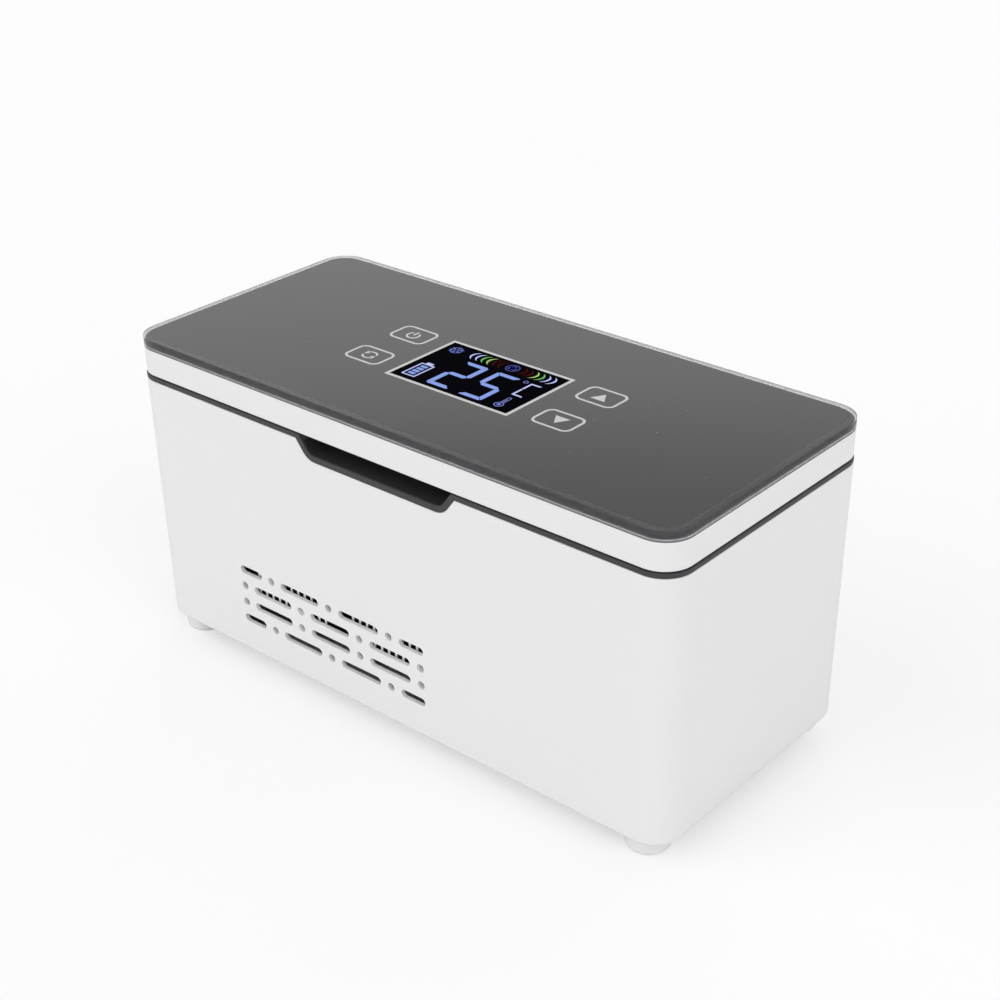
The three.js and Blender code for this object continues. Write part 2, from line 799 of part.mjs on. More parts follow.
// Two banks of fins hang from one base, with room between them for the clamp screws.
function heatSink() {
  const half_width = sink_width / 2;
  const outline = new THREE.Shape();
  outline.moveTo(-half_width, sink_top);
  for (const bank_from of [-half_width, half_width - bank_width]) {
    for (let fin = 0; fin < fins_per_bank; fin++) {
      const x = bank_from + fin * fin_pitch;
      outline.lineTo(x, fin_top);
      outline.lineTo(x, fin_bottom);
      outline.lineTo(x + fin_thickness, fin_bottom);
      outline.lineTo(x + fin_thickness, fin_top);
    }
  }
  outline.lineTo(half_width, sink_top);
  const body = solid(wallPrism(outline, -sink_depth / 2, sink_depth / 2));
  const hole = screw_radius + pin_gap;
  const clamp_holes = [-1, 1].map((end) => {
    const y = (end * clamp_screw_spread) / 2;
    return post(0, y, hole, fin_top - cut_overrun, sink_top + cut_overrun, screw_steps);
  });
  const screw_end = fan_bottom + fan_screw_length + fit_gap;
  const fan_holes = corners(fan_screw_spread, fan_screw_spread).map(([x, y]) =>
    post(x, y, hole, fin_bottom - cut_overrun, screw_end, screw_steps),
  );
  return cut(body, ...clamp_holes, ...fan_holes);
}

// Fan

function fanFrame() {
  const hub = fan_hub_radius;
  const arm_from = hub / 2;
  const arm_to = fan_bore_radius + join_sink;
  let body = cut(
    plate(fan_side, fan_side, fan_corner_radius, 0, fan_height, small_arc_steps),
    post(0, 0, fan_bore_radius, -cut_overrun, fan_height + cut_overrun, bore_steps),
  );
  for (let strut = 0; strut < fan_struts; strut++) {
    const arm = new THREE.BoxGeometry(arm_to - arm_from, fan_strut_width, fan_strut_height);
    arm.translate((arm_to + arm_from) / 2, 0, fan_strut_height / 2);
    arm.rotateZ((strut / fan_struts) * 2 * Math.PI + Math.PI / 2);
    body = join(body, solid(arm));
  }
  body = join(
    body,
    post(0, 0, hub, 0, fan_strut_height),
    post(0, 0, shaft_radius + bearing_wall, 0, fan_strut_height + bearing_height),
  );
  const bore = post(0, 0, shaft_radius + pin_gap, fan_strut_height / 2, fan_height);
  const holes = corners(fan_screw_spread, fan_screw_spread).map(([x, y]) =>
    post(x, y, screw_radius + fit_gap, -cut_overrun, fan_height + cut_overrun, screw_steps),
  );
  return cut(body, bore, ...holes);
}

function fanBlade() {
  const stations = 2;
  const chord_steps = 4;
  const tip_radius = fan_bore_radius - blade_tip_gap;
  const rings = [];
  for (let station = 0; station <= stations; station++) {
    const share = station / stations;
    const radius = mix(fan_hub_radius - join_sink, tip_radius, share);
    const pitch = radians(mix(blade_pitch_root_deg, blade_pitch_tip_deg, share));
    const chord = mix(blade_chord_root, blade_chord_tip, share);
    const ring = [];
    for (const face of [1, -1]) {
      for (let step = 0; step <= chord_steps; step++) {
        const spot = face * (step / chord_steps - 1 / 2);
        const rise = blade_camber * (1 - 4 * spot * spot) + (face * blade_thickness) / 2;
        const across = spot * chord * Math.cos(pitch) - rise * Math.sin(pitch);
        const up = spot * chord * Math.sin(pitch) + rise * Math.cos(pitch);
        const angle = across / radius;
        ring.push(new THREE.Vector3(radius * Math.cos(angle), radius * Math.sin(angle), up));
      }
    }
    rings.push(ring);
  }
  return skin(rings);
}

function fanRotor() {
  const half = fan_hub_height / 2;
  const inner = fan_hub_radius - fan_hub_wall;
  let body = cut(
    post(0, 0, fan_hub_radius, -half, half),
    post(0, 0, inner, -half - cut_overrun, half - fan_hub_wall),
  );
  body = join(body, post(0, 0, shaft_radius + bearing_wall, half - 2 * fan_hub_wall, half));
  for (let blade = 0; blade < blade_count; blade++) {
    body = join(body, fanBlade().rotate([0, 0, (blade * 360) / blade_count]));
  }
  return cut(body, post(0, 0, shaft_radius + pin_gap / 2, -half, half - fan_hub_wall / 2));
}

// Battery and boards

function cell() {
  const half = cell_length / 2;
  const shoulder = half - cell_nub_height;
  const profile = [
    [0, -half],
    [cell_radius - cell_edge, -half],
    [cell_radius, -half + cell_edge],
    [cell_radius, shoulder - cell_edge],
    [cell_radius - cell_edge, shoulder],
    [cell_nub_radius, shoulder],
    [cell_nub_radius, half],
    [0, half],
  ];
  return turned(profile, cell_steps).rotate([-90, 0, 0]);
}

const cell_z = base_top + 2 * seat_gap + cradle_floor + cell_radius;

function batteryCradle() {
  const half_x = cradle_half_x;
  const half_y = cell_length / 2 + fit_gap + cradle_end_wall;
  const bottom = base_top + seat_gap;
  const top = bottom + cradle_floor + cradle_saddle;
  let body = block(power_x - half_x, power_x + half_x, -half_y, half_y, bottom, top);
  for (let i = 0; i < cell_count; i++) {
    const x = power_x + (i - (cell_count - 1) / 2) * cell_pitch;
    const reach = cell_length / 2 + fit_gap;
    body = cut(body, depthBar(-reach, reach, x, cell_z, cell_radius + seat_gap, cell_steps));
  }
  for (const [x, y] of corners(2 * half_x - 2 * post_radius, 2 * half_y)) {
    const outward = Math.sign(y) * (Math.abs(y) + post_radius / 2);
    const post_top = board_bottom - seat_gap;
    body = join(body, post(power_x + x, outward, post_radius, bottom, post_top, screw_steps));
  }
  return body;
}

// Main board with its tallest parts: a coil, a heat tab, two capacitors and a plug row.
function mainBoard() {
  const half_x = board_length / 2;
  const half_y = board_depth / 2;
  const capacitor = post_radius + fit_gap;
  const low = board_top - join_sink;
  return join(
    block(power_x - half_x, power_x + half_x, -half_y, half_y, board_bottom, board_top),
    post(power_x - half_x / 2, half_y / 2, 2 * capacitor, low, board_top + inlet_height / 2),
    post(power_x, half_y / 2, capacitor, low, board_top + inlet_height),
    post(power_x, half_y / 4, capacitor, low, board_top + inlet_height),
    block(
      power_x - half_x / 2, power_x, -half_y / 2, -half_y / 2 + 2 * board_thickness,
      low, board_top + inlet_height,
    ),
    block(
      power_x + half_x / 4, power_x + half_x / 2, -half_y / 2, half_y / 4,
      low, board_top + inlet_height / 3,
    ),
  );
}

const inlet_z = board_top + seat_gap + inlet_height / 2;
const inlet_face = case_depth / 2 - shell_draft;

// Round power socket: its collar fills the hole in the rear wall, its body stands on the main board.
function powerInlet() {
  const wall_inside = inlet_face - shell_wall - fit_gap;
  const half = inlet_width / 2;
  const low = board_top + seat_gap;
  const housing = block(
    inlet_x - half, inlet_x + half, wall_inside - inlet_length, wall_inside,
    low, low + inlet_height,
  );
  const bar = (y_from, y_to, radius) => depthBar(y_from, y_to, inlet_x, inlet_z, radius);
  const collar = bar(wall_inside - join_sink, inlet_face, inlet_collar_radius);
  const bore_end = inlet_face - inlet_bore_depth;
  const bore = bar(bore_end, inlet_face + cut_overrun, inlet_bore_radius);
  const centre_pin = bar(bore_end - join_sink, inlet_face - inlet_pin_radius, inlet_pin_radius);
  return join(cut(join(housing, collar), bore), centre_pin);
}

// Lid

function lidPlate(inset, z_from, z_to) {
  return plate(lid_length - 2 * inset, lid_depth - 2 * inset, lid_corner_radius - inset, z_from, z_to);
}

const module_length = display_length + 2 * module_margin;
const module_width = display_width + 2 * module_margin;
const key_places = [
  ['power', layout_x + key_left_x, layout_y + key_rear_y],
  ['auto', layout_x + key_left_x, layout_y + key_front_y],
  ['up', layout_x + key_right_x, layout_y + key_rear_y],
  ['down', layout_x + key_right_x, layout_y + key_front_y],
];

function lidFrame() {
  let body = cut(
    lidPlate(0, lid_bottom, lid_top),
    lidPlate(lid_wall, lid_bottom - cut_overrun, deck_bottom),
    block(
      layout_x - module_length / 2 - fit_gap, layout_x + module_length / 2 + fit_gap,
      layout_y - module_width / 2 - fit_gap, layout_y + module_width / 2 + fit_gap,
      deck_bottom - cut_overrun, lid_top + cut_overrun,
    ),
  );
  for (const [, x, y] of key_places) {
    const hole = contact_radius + fit_gap;
    body = cut(body, post(x, y, hole, deck_bottom - cut_overrun, lid_top + cut_overrun));
  }
  for (const [x, y] of corners(lid_screw_spread_x, lid_screw_spread_y)) {
    const boss_bottom = liner_plate_top + lid_boss_foot + seat_gap;
    const pilot = screw_radius + pin_gap;
    const pilot_top = lid_bottom + screw_head_height + lid_screw_length + fit_gap;
    body = join(body, post(x, y, lid_boss_radius, boss_bottom, deck_bottom + join_sink, screw_steps));
    body = cut(body, post(x, y, pilot, boss_bottom - cut_overrun, pilot_top, screw_steps));
  }
  const half_length = case_length / 2;
  const edge_tool = cut(
    block(
      -half_length, half_length, hinge_y, hinge_y + hinge_radius + cut_overrun,
      lid_bottom - cut_overrun, hinge_z,
    ),
    lengthBar(
      -half_length - cut_overrun, half_length + cut_overrun, hinge_y, hinge_z, hinge_radius,
    ),
  );
  body = cut(body, edge_tool);
  for (const end of [-1, 1]) {
    const ear_x = (end * hinge_spread) / 2;
    const inner_half = ear_width / 2 + ear_side_gap;
    const outer_half = inner_half + knuckle_width;
    const knuckle_top = hinge_z + hinge_radius;
    const knuckle_front = hinge_y - knuckle_depth;
    const knuckles = block(
      ear_x - outer_half, ear_x + outer_half, knuckle_front, hinge_y + join_sink,
      lid_bottom, knuckle_top,
    );
    const ear_room = block(
      ear_x - inner_half, ear_x + inner_half,
      knuckle_front - cut_overrun, hinge_y + hinge_radius + cut_overrun,
      lid_bottom - cut_overrun, knuckle_top + ear_side_gap,
    );
    body = cut(join(body, knuckles), ear_room, hingeBore(ear_x - outer_half, ear_x + outer_half));
  }
  return body;
}

function hingePin() {
  const half = ear_width / 2 + ear_side_gap + knuckle_width - seat_gap;
  return lengthBar(-half, half, 0, 0, hinge_pin_radius, screw_steps);
}

// Glossy slab with rounded edges, open where the display lens sits.
function touchPanel() {
  const rings = [];
  const ring = (inset, z) =>
    roundedRing(lid_length - 2 * inset, lid_depth - 2 * inset, lid_corner_radius - inset, z);
  rings.push(ring(panel_foot_radius, panel_bottom), ring(0, panel_bottom + panel_foot_radius));
  for (let step = 0; step <= fillet_steps; step++) {
    const angle = ((step / fillet_steps) * Math.PI) / 2;
    const inset = panel_edge_radius * (1 - Math.cos(angle));
    rings.push(ring(inset, panel_top - panel_edge_radius * (1 - Math.sin(angle))));
  }
  const window_tool = plate(
    display_length + 2 * display_gap, display_width + 2 * display_gap, display_corner + display_gap,
    panel_bottom - cut_overrun, panel_top + cut_overrun, small_arc_steps,
  );
  return cut(skin(rings), window_tool.translate([layout_x, layout_y, 0]));
}

function displayLens() {
  return plate(display_length, display_width, display_corner, panel_bottom, panel_top, small_arc_steps);
}

function displayModule() {
  const half_x = module_length / 2;
  const half_y = module_width / 2;
  return block(-half_x, half_x, -half_y, half_y, control_board_top + seat_gap, lid_top);
}

// Control board under the deck, with its controller and a plug at the rear edge.
function controlBoard() {
  const half_x = control_board_length / 2;
  const half_y = control_board_depth / 2;
  const chip = half_y / 4;
  return join(
    block(-half_x, half_x, -half_y, half_y, control_board_bottom, control_board_top),
    block(
      -chip, chip, -chip, chip,
      control_board_bottom - board_thickness / 2, control_board_top - join_sink,
    ),
  );
}

const plug_margin = -plug_gap;
const gasket_inner = plug_margin + gasket_offset;

function lidLiner() {
  const plug_bottom = lid_bottom - plug_depth;
  const ring = (inset, z) => {
    const margin = plug_margin - inset;
    const radius = chamber_corner_radius + margin;
    return roundedRing(chamber_length + 2 * margin, chamber_width + 2 * margin, radius, z);
  };
  const tub = skin([
    ring(plug_edge_radius, plug_bottom),
    ring(plug_edge_radius / 4, plug_bottom + plug_edge_radius / 4),
    ring(0, plug_bottom + plug_edge_radius),
    ring(0, lid_bottom + join_sink),
  ]);
  let body = join(lidPlate(lid_wall + fit_gap, lid_bottom, liner_plate_top), tub);
  for (const [x, y] of corners(lid_screw_spread_x, lid_screw_spread_y)) {
    const radius = lid_boss_radius + lid_boss_foot;
    body = join(body, post(x, y, radius, lid_bottom, liner_plate_top + lid_boss_foot, screw_steps));
  }
  body = cut(
    body,
    chamberPlate(plug_margin - plug_wall, plug_bottom + plug_wall, liner_plate_top + cut_overrun),
    gasketRing(-fit_gap / 2, lid_bottom - cut_overrun, lid_bottom + gasket_groove),
  );
  for (const [x, y] of corners(lid_screw_spread_x, lid_screw_spread_y)) {
    const below = lid_bottom - cut_overrun;
    const head_seat = lid_bottom + screw_head_height + seat_gap;
    body = cut(
      body,
      post(x, y, screw_radius + fit_gap, below, liner_plate_top + cut_overrun, screw_steps),
      post(x, y, screw_head_radius + fit_gap, below, head_seat, screw_steps),
    );
  }
  for (const end of [-1, 1]) {
    const x = (end * hinge_spread) / 2;
    const half = ear_width / 2 + ear_side_gap + knuckle_width + fit_gap;
    const front = hinge_y - knuckle_depth - fit_gap;
    const knuckle_room = block(
      x - half, x + half, front, case_depth,
      lid_bottom - cut_overrun, liner_plate_top + cut_overrun,
    );
    const magnet_x = (end * magnet_spread) / 2;
    const ring_radius = magnet_seat + magnet_ring_wall;
    const ring_top = liner_plate_top + magnet_height / 2;
    const magnet_ring = cut(
      post(magnet_x, magnet_y, ring_radius, liner_plate_top - join_sink, ring_top),
      post(magnet_x, magnet_y, magnet_seat, liner_plate_top, liner_plate_top + cut_overrun),
    );
    body = join(cut(body, knuckle_room), magnet_ring);
  }
  return body;
}

// The gasket's loop round the plug; a negative slack makes it wider on both sides.
function gasketRing(slack, z_from, z_to) {
  return cut(
    chamberPlate(gasket_inner + gasket_width - slack, z_from, z_to),
    chamberPlate(gasket_inner + slack, z_from - cut_overrun, z_to + cut_overrun),
  );
}

function lidGasket() {
  return gasketRing(0, rim_top + lid_gap / 3, lid_bottom + gasket_groove - seat_gap);
}

function lidInsulation() {
  const bottom = lid_bottom - plug_depth + plug_wall + seat_gap;
  const margin = plug_margin - plug_wall - fit_gap;
  return chamberPlate(margin, bottom, control_board_bottom - board_thickness);
}

// Assembly

function caseGroup() {
  const group = new THREE.Group();
  group.add(piece('housing_shell', housingShell(), white_plastic));
  group.add(piece('base_cover', baseCover(), white_plastic));
  group.add(piece('rim_frame', rimFrame(), dark_plastic));
  group.add(piece('chamber_liner', chamberLiner(), bare_aluminium));
  group.add(piece('insulation_foam', insulationFoam(), foam_grey));
  for (const [x, y, place] of corners(foot_spread_x, foot_spread_y)) {
    group.add(placed(piece(`foot_${place}`, foot(), foot_white), x, y, 0));
  }
  for (const [x, y, place] of corners(base_screw_spread_x, base_screw_spread_y)) {
    const height = shell_bottom + screw_head_height;
    group.add(placed(piece(`base_screw_${place}`, screw(base_screw_length), steel), x, y, height));
  }
  const sensor = piece('temperature_sensor', temperatureSensor(), steel);
  group.add(placed(sensor, -chamber_length / 2, 0, sensor_z));
  for (const [end, side] of [[-1, 'left'], [1, 'right']]) {
    const magnet = piece(`rim_magnet_${side}`, post(0, 0, magnet_radius, 0, magnet_height), steel);
    const magnet_z = rim_bottom - seat_gap - magnet_height;
    group.add(placed(magnet, (end * magnet_spread) / 2, magnet_y, magnet_z));
    const pin = piece(`hinge_pin_${side}`, hingePin(), steel);
    group.add(placed(pin, (end * hinge_spread) / 2, hinge_y, hinge_z));
  }
  return group;
}

function coolerGroup() {
  const group = new THREE.Group();
  group.position.set(cooler_x, 0, 0);
  group.add(piece('cold_block', coldBlock(), bare_aluminium));
  group.add(placed(piece('peltier_module', peltierModule(), ceramic), 0, 0, peltier_bottom));
  group.add(piece('heat_sink', heatSink(), bare_aluminium));
  for (const [end, side] of [[-1, 'front'], [1, 'rear']]) {
    const mesh = piece(`clamp_screw_${side}`, screw(clamp_screw_length - seat_gap), steel);
    group.add(placed(mesh, 0, (end * clamp_screw_spread) / 2, fin_top - seat_gap));
  }
  group.add(placed(piece('fan_frame', fanFrame(), black_plastic), 0, 0, fan_bottom));
  for (const [x, y, place] of corners(fan_screw_spread, fan_screw_spread)) {
    const mesh = piece(`fan_screw_${place}`, screw(fan_screw_length), steel);
    group.add(placed(mesh, x, y, fan_bottom - seat_gap));
  }
  const rotor_z = fan_bottom + fan_strut_height + 2 * fit_gap + fan_hub_height / 2;
  group.add(placed(piece('fan_rotor', fanRotor(), black_plastic), 0, 0, rotor_z));
  const shaft_top = rotor_z + fan_hub_height / 2 - fan_hub_wall / 2 - seat_gap;
  const shaft = post(0, 0, shaft_radius, fan_bottom + fan_strut_height / 2 + seat_gap, shaft_top);
  group.add(piece('fan_shaft', shaft, steel));
  return group;
}

function powerGroup() {
  const group = new THREE.Group();
  group.add(piece('battery_cradle', batteryCradle(), black_plastic));
  for (let i = 0; i < cell_count; i++) {
    const x = power_x + (i - (cell_count - 1) / 2) * cell_pitch;
    group.add(placed(piece(`battery_cell_${i + 1}`, cell(), cell_blue), x, 0, cell_z));
  }
  group.add(piece('main_board', mainBoard(), board_green));
  group.add(piece('power_inlet', powerInlet(), black_plastic));
  return group;
}

function lidGroup() {
  const group = new THREE.Group();
  group.add(piece('lid_frame', lidFrame(), white_plastic));
  group.add(piece('touch_panel', touchPanel(), panel_gloss));
  group.add(placed(piece('display_lens', displayLens(), display_gloss), layout_x, layout_y, 0));
  group.add(placed(piece('display_module', displayModule(), black_plastic), layout_x, layout_y, 0));
  group.add(placed(piece('control_board', controlBoard(), board_green), layout_x, layout_y, 0));
  for (const [key, x, y] of key_places) {
    const contact = post(0, 0, contact_radius, control_board_top + seat_gap, lid_top);
    group.add(placed(piece(`touch_contact_${key}`, contact, contact_grey), x, y, 0));
  }
  group.add(piece('lid_liner', lidLiner(), white_plastic));
  group.add(piece('lid_insulation', lidInsulation(), foam_grey));
  group.add(piece('lid_gasket', lidGasket(), rubber_grey));
  for (const [x, y, place] of corners(lid_screw_spread_x, lid_screw_spread_y)) {
    const height = lid_bottom + screw_head_height;
    group.add(placed(piece(`lid_screw_${place}`, screw(lid_screw_length), steel), x, y, height));
  }
  for (const [end, side] of [[-1, 'left'], [1, 'right']]) {
    const magnet = piece(`lid_magnet_${side}`, post(0, 0, magnet_radius, 0, magnet_height), steel);
    const magnet_z = liner_plate_top + seat_gap;
    group.add(placed(magnet, (end * magnet_spread) / 2, magnet_y, magnet_z));
  }
  return group;
}

const insulin_cooling_case = new THREE.Group();
insulin_cooling_case.add(caseGroup(), coolerGroup(), powerGroup(), lidGroup());

export default insulin_cooling_case;
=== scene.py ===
import math

import bmesh
import bpy
from mathutils import Matrix, Vector


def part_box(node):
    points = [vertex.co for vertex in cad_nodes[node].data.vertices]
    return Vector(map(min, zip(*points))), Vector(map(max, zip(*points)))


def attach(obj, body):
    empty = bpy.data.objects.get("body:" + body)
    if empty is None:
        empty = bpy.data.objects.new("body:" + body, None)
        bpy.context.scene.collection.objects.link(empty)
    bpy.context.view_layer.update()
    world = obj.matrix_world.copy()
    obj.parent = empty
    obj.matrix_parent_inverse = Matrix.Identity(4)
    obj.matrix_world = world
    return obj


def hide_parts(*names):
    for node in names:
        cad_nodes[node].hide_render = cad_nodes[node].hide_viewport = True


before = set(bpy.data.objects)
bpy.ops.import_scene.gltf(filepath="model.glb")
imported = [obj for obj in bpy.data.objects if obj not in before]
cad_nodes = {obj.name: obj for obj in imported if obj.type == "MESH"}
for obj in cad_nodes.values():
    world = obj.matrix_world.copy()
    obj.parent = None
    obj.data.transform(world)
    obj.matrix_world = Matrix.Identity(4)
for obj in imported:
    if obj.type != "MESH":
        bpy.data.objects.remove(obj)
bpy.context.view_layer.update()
mm = 0.001

# Camera: a long lens to the right of the front and above the lid, as for a shop picture.
# It leans a little and is shifted, so the case stands above the middle of the frame.
camera_azimuth = math.radians(41.092)
camera_height = math.radians(29.820)
camera_lean = math.radians(-0.939)
camera_aim = Vector((0, 0, 51.5)) * mm
camera_stand = Vector((4.246, -5.657, 606.553)) * mm

camera_data = bpy.data.cameras.new("camera")
camera_data.sensor_width = 36
camera_data.lens = 64.34
camera_data.shift_x = 0.00362
camera_data.shift_y = 0.0591
camera_data.clip_start = 10 * mm
camera = bpy.data.objects.new("camera", camera_data)
bpy.context.scene.collection.objects.link(camera)
camera_turn = Matrix.Rotation(camera_azimuth, 4, "Z")
camera_turn = camera_turn @ Matrix.Rotation(math.pi / 2 - camera_height, 4, "X")
camera_turn = camera_turn @ Matrix.Rotation(camera_lean, 4, "Z")
camera.matrix_world = Matrix.Translation(camera_aim) @ camera_turn @ Matrix.Translation(camera_stand)
bpy.context.scene.camera = camera
bpy.context.scene.view_settings.view_transform = "Standard"

# Floor: a plain white sheet of board that runs out of sight and takes the case's soft shadow.
# It is painted matt; the camera sees it paler than the case does, with a light shadow.
floor_reach = 6.0
floor_white = 0.80
floor_seen = 0.46
floor_lift = 0.51


class Wire:
    """One socket of a material; arithmetic on it adds Math nodes."""

    def __init__(self, tree, socket=None):
        self.tree = tree
        self.socket = socket

    def node(self, kind, settings=None, values=None, out=0):
        """Adds a node: its settings first, then each socket's value or the wire that feeds it."""
        made = self.tree.nodes.new(kind)
        for name, setting in (settings or {}).items():
            setattr(made, name, setting)
        for name, value in (values or {}).items():
            if isinstance(value, Wire):
                self.tree.links.new(value.socket, made.inputs[name])
            else:
                made.inputs[name].default_value = value
        return Wire(self.tree, made.outputs[out] if made.outputs else None)

    def math(self, operation, *values):
        return self.node("ShaderNodeMath", {"operation": operation}, dict(enumerate(values)))

    def __add__(self, other):
        return self.math("ADD", self, other)

    def __sub__(self, other):
        return self.math("SUBTRACT", self, other)

    def __rsub__(self, other):
        return self.math("SUBTRACT", other, self)

    def __mul__(self, other):
        return self.math("MULTIPLY", self, other)

    __radd__ = __add__
    __rmul__ = __mul__

    def blend(self, low, high):
        """A colour between two, by this wire."""
        return self.node("ShaderNodeMix", {"data_type": "RGBA"}, {0: self, 6: low, 7: high}, out=2)

    def step(self, low, high):
        """A smooth rise from 0 to 1 between two levels."""
        settings = {"interpolation_type": "SMOOTHSTEP"}
        return self.node("ShaderNodeMapRange", settings, {"Value": self, "From Min": low, "From Max": high})

    def noise(self, waves, detail=2.0, stretch=(1, 1, 1)):
        """Even noise from 0 to 1, with so many waves in a metre."""
        place = self.node("ShaderNodeTexCoord", out="Object")
        if stretch != (1, 1, 1):
            place = self.node("ShaderNodeVectorMath", {"operation": "MULTIPLY"}, {0: place, 1: stretch})
        return self.node("ShaderNodeTexNoise", {}, {"Vector": place, "Scale": waves, "Detail": detail})

    def part(self, vector, axis):
        return self.node("ShaderNodeSeparateXYZ", {}, {"Vector": vector}, out=axis)

    def place(self, axis):
        """How far along the case's X, Y or Z a point lies, in metres."""
        return self.part(self.node("ShaderNodeTexCoord", out="Object"), axis)

    def facing(self, axis):
        """1 on a face that looks along an axis and 0 on one that lies along it."""
        share = self.part(self.node("ShaderNodeNewGeometry", out="Normal"), axis)
        return share * share

    def ray(self, kind):
        """1 for a ray of one kind, such as Camera."""
        return self.node("ShaderNodeLightPath", out=f"Is {kind} Ray")

    def bump(self, height, strength, depth):
        """A normal that follows a height, of the given depth in metres."""
        return self.node("ShaderNodeBump", {}, {"Height": height, "Strength": strength, "Distance": depth})

    def surface(self, **values):
        """Ends a material in one surface; each name is a socket's, with lines for spaces."""
        named = {name.replace("_", " "): value for name, value in values.items()}
        shader = self.node("ShaderNodeBsdfPrincipled", {}, named)
        self.node("ShaderNodeOutputMaterial", {}, {"Surface": shader})


def new_finish(name):
    """A bare material and the wire that its nodes are added from."""
    material = bpy.data.materials.new(name)
    material.use_nodes = True
    material.node_tree.nodes.clear()
    return material, Wire(material.node_tree)


def grey(level):
    return (level, level, level, 1.0)


floor_finish, wire = new_finish("floor_white")
seen_straight = wire.ray("Camera")
cloud = 0.05 * wire.noise(3.0)
floor_paint = seen_straight.blend(grey(floor_white), grey(floor_seen))
wire.surface(
    Base_Color=cloud.blend(floor_paint, grey(floor_white)),
    Roughness=0.9 + cloud,
    Specular_IOR_Level=0.0,
    Emission_Color=seen_straight.blend(grey(0.0), grey(floor_lift)),
    Emission_Strength=1.0,
)
floor_corners = [(x * floor_reach, y * floor_reach, 0) for x, y in ((-1, -1), (1, -1), (1, 1), (-1, 1))]
floor_mesh = bpy.data.meshes.new("floor")
floor_mesh.from_pydata(floor_corners, [], [(0, 1, 2, 3)])
floor_mesh.materials.append(floor_finish)
floor = bpy.data.objects.new("floor", floor_mesh)
bpy.context.scene.collection.objects.link(floor)

# Light: a white tent all round and three very broad lamps outside it: over the left shoulder,
# from the right and from behind. Gloss mirrors the tent, whose roof is a little greyer.
tent_light = 0.56
roof_shade = 0.32
roof_low, roof_high = 0.40, 0.47
lamp_spread = math.radians(60)
lamps = {
    "lamp_left": ((-0.45, -0.68, 0.62), 0.90),
    "lamp_right": ((0.75, -0.25, 0.60), 0.86),
    "lamp_behind": ((-0.12, 0.75, 0.65), 0.50),
}
world = bpy.data.worlds.new("tent")
world.use_nodes = True
world.node_tree.nodes.clear()
wire = Wire(world.node_tree)
seen_white = wire.ray("Camera")
for kind in ("Glossy", "Transmission"):
    seen_white = wire.math("MAXIMUM", seen_white, wire.ray(kind))
height = wire.part(wire.node("ShaderNodeTexCoord", out="Generated"), "Z")
shade = roof_shade / (1 - tent_light) * wire.ray("Glossy") * height.step(roof_low, roof_high)
tent = (seen_white - shade).blend(grey(tent_light), grey(1.0))
tent = wire.node("ShaderNodeBackground", {}, {"Color": tent})
wire.node("ShaderNodeOutputWorld", {}, {"Surface": tent})
bpy.context.scene.world = world
for name, (way, strength) in lamps.items():
    lamp_data = bpy.data.lights.new(name, "SUN")
    lamp_data.energy = strength
    lamp_data.angle = lamp_spread
    lamp = bpy.data.objects.new(name, lamp_data)
    lamp.visible_glossy = False
    lamp.matrix_world = Vector(way).to_track_quat("Z", "Y").to_matrix().to_4x4()
    bpy.context.scene.collection.objects.link(lamp)

# Housing shell: one white ABS moulding, 1.6 mm thick, whose sides lean in towards the bottom.
# The mould leaves the finger notch and the vents open, with a thicker wall round each round
# vent; a fine spark finish dulls its gloss.
shell_low, shell_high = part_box("housing_shell")
case_length = shell_high.x - shell_low.x
case_depth = shell_high.y - shell_low.y
case_radius = 10.2 * mm
shell_bottom = shell_low.z
shell_top = shell_high.z
shell_wall = 1.6 * mm
shell_lean = 0.8 * mm
shell_foot_radius = 1.6 * mm
shell_lip = 3.5 * mm
base_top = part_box("base_cover")[1].z
edge_radius = 0.3 * mm
hole_edge = 0.32 * mm
cut_overrun = 3 * mm
wall_reach = 5.2 * mm
notch_depth = 6.4 * mm
notch_half_flat = 25.8 * mm
notch_radius = 6.5 * mm
notch_slope = 53
notch_middle = shell_top - notch_depth + notch_radius
vent_height = 3 * mm
vent_slot = 18.2 * mm
vent_gap = 3.17 * mm
vent_pitch = 6.53 * mm
vent_lowest = 19.9 * mm
vent_shift = -2.6 * mm
ring_radius = 2.6 * mm
ring_root = 1 * mm
ring_reach = 2.75 * mm
socket_radius = 4.2 * mm
socket_rise = 5.5 * mm
socket_room = 0.15 * mm


def arc(x, y, radius, turn_from, turn_to, steps):
    """Points on an arc, ends included; the turns are in degrees."""
    points = []
    for step in range(steps + 1):
        angle = math.radians(turn_from + (turn_to - turn_from) * step / steps)
        points.append((x + radius * math.cos(angle), y + radius * math.sin(angle)))
    return points


def disc(x, y, radius, steps=48):
    return arc(x, y, radius, 0, 360, steps)[:-1]


def rounded(length, depth, radius, middle=(0, 0), steps=20):
    """Outline of a rectangle with round corners, seen from above."""
    x, y = length / 2 - radius, depth / 2 - radius
    outline = []
    for turn, side_x, side_y in ((0, 1, 1), (90, -1, 1), (180, -1, -1), (270, 1, -1)):
        outline += arc(middle[0] + side_x * x, middle[1] + side_y * y, radius, turn, turn + 90, steps)
    return outline


def new_piece(name, points, faces):
    """A mesh object whose faces look outward."""
    mesh = bpy.data.meshes.new(name)
    mesh.from_pydata([tuple(point) for point in points], [], faces)
    shaped = bmesh.new()
    shaped.from_mesh(mesh)
    bmesh.ops.recalc_face_normals(shaped, faces=shaped.faces)
    shaped.to_mesh(mesh)
    shaped.free()
    piece = bpy.data.objects.new(name, mesh)
    bpy.context.scene.collection.objects.link(piece)
    return piece


def strip(low, high, count):
    """Faces between two rings, by the number of each ring's first point."""
    return [(low + i, low + (i + 1) % count, high + (i + 1) % count, high + i) for i in range(count)]


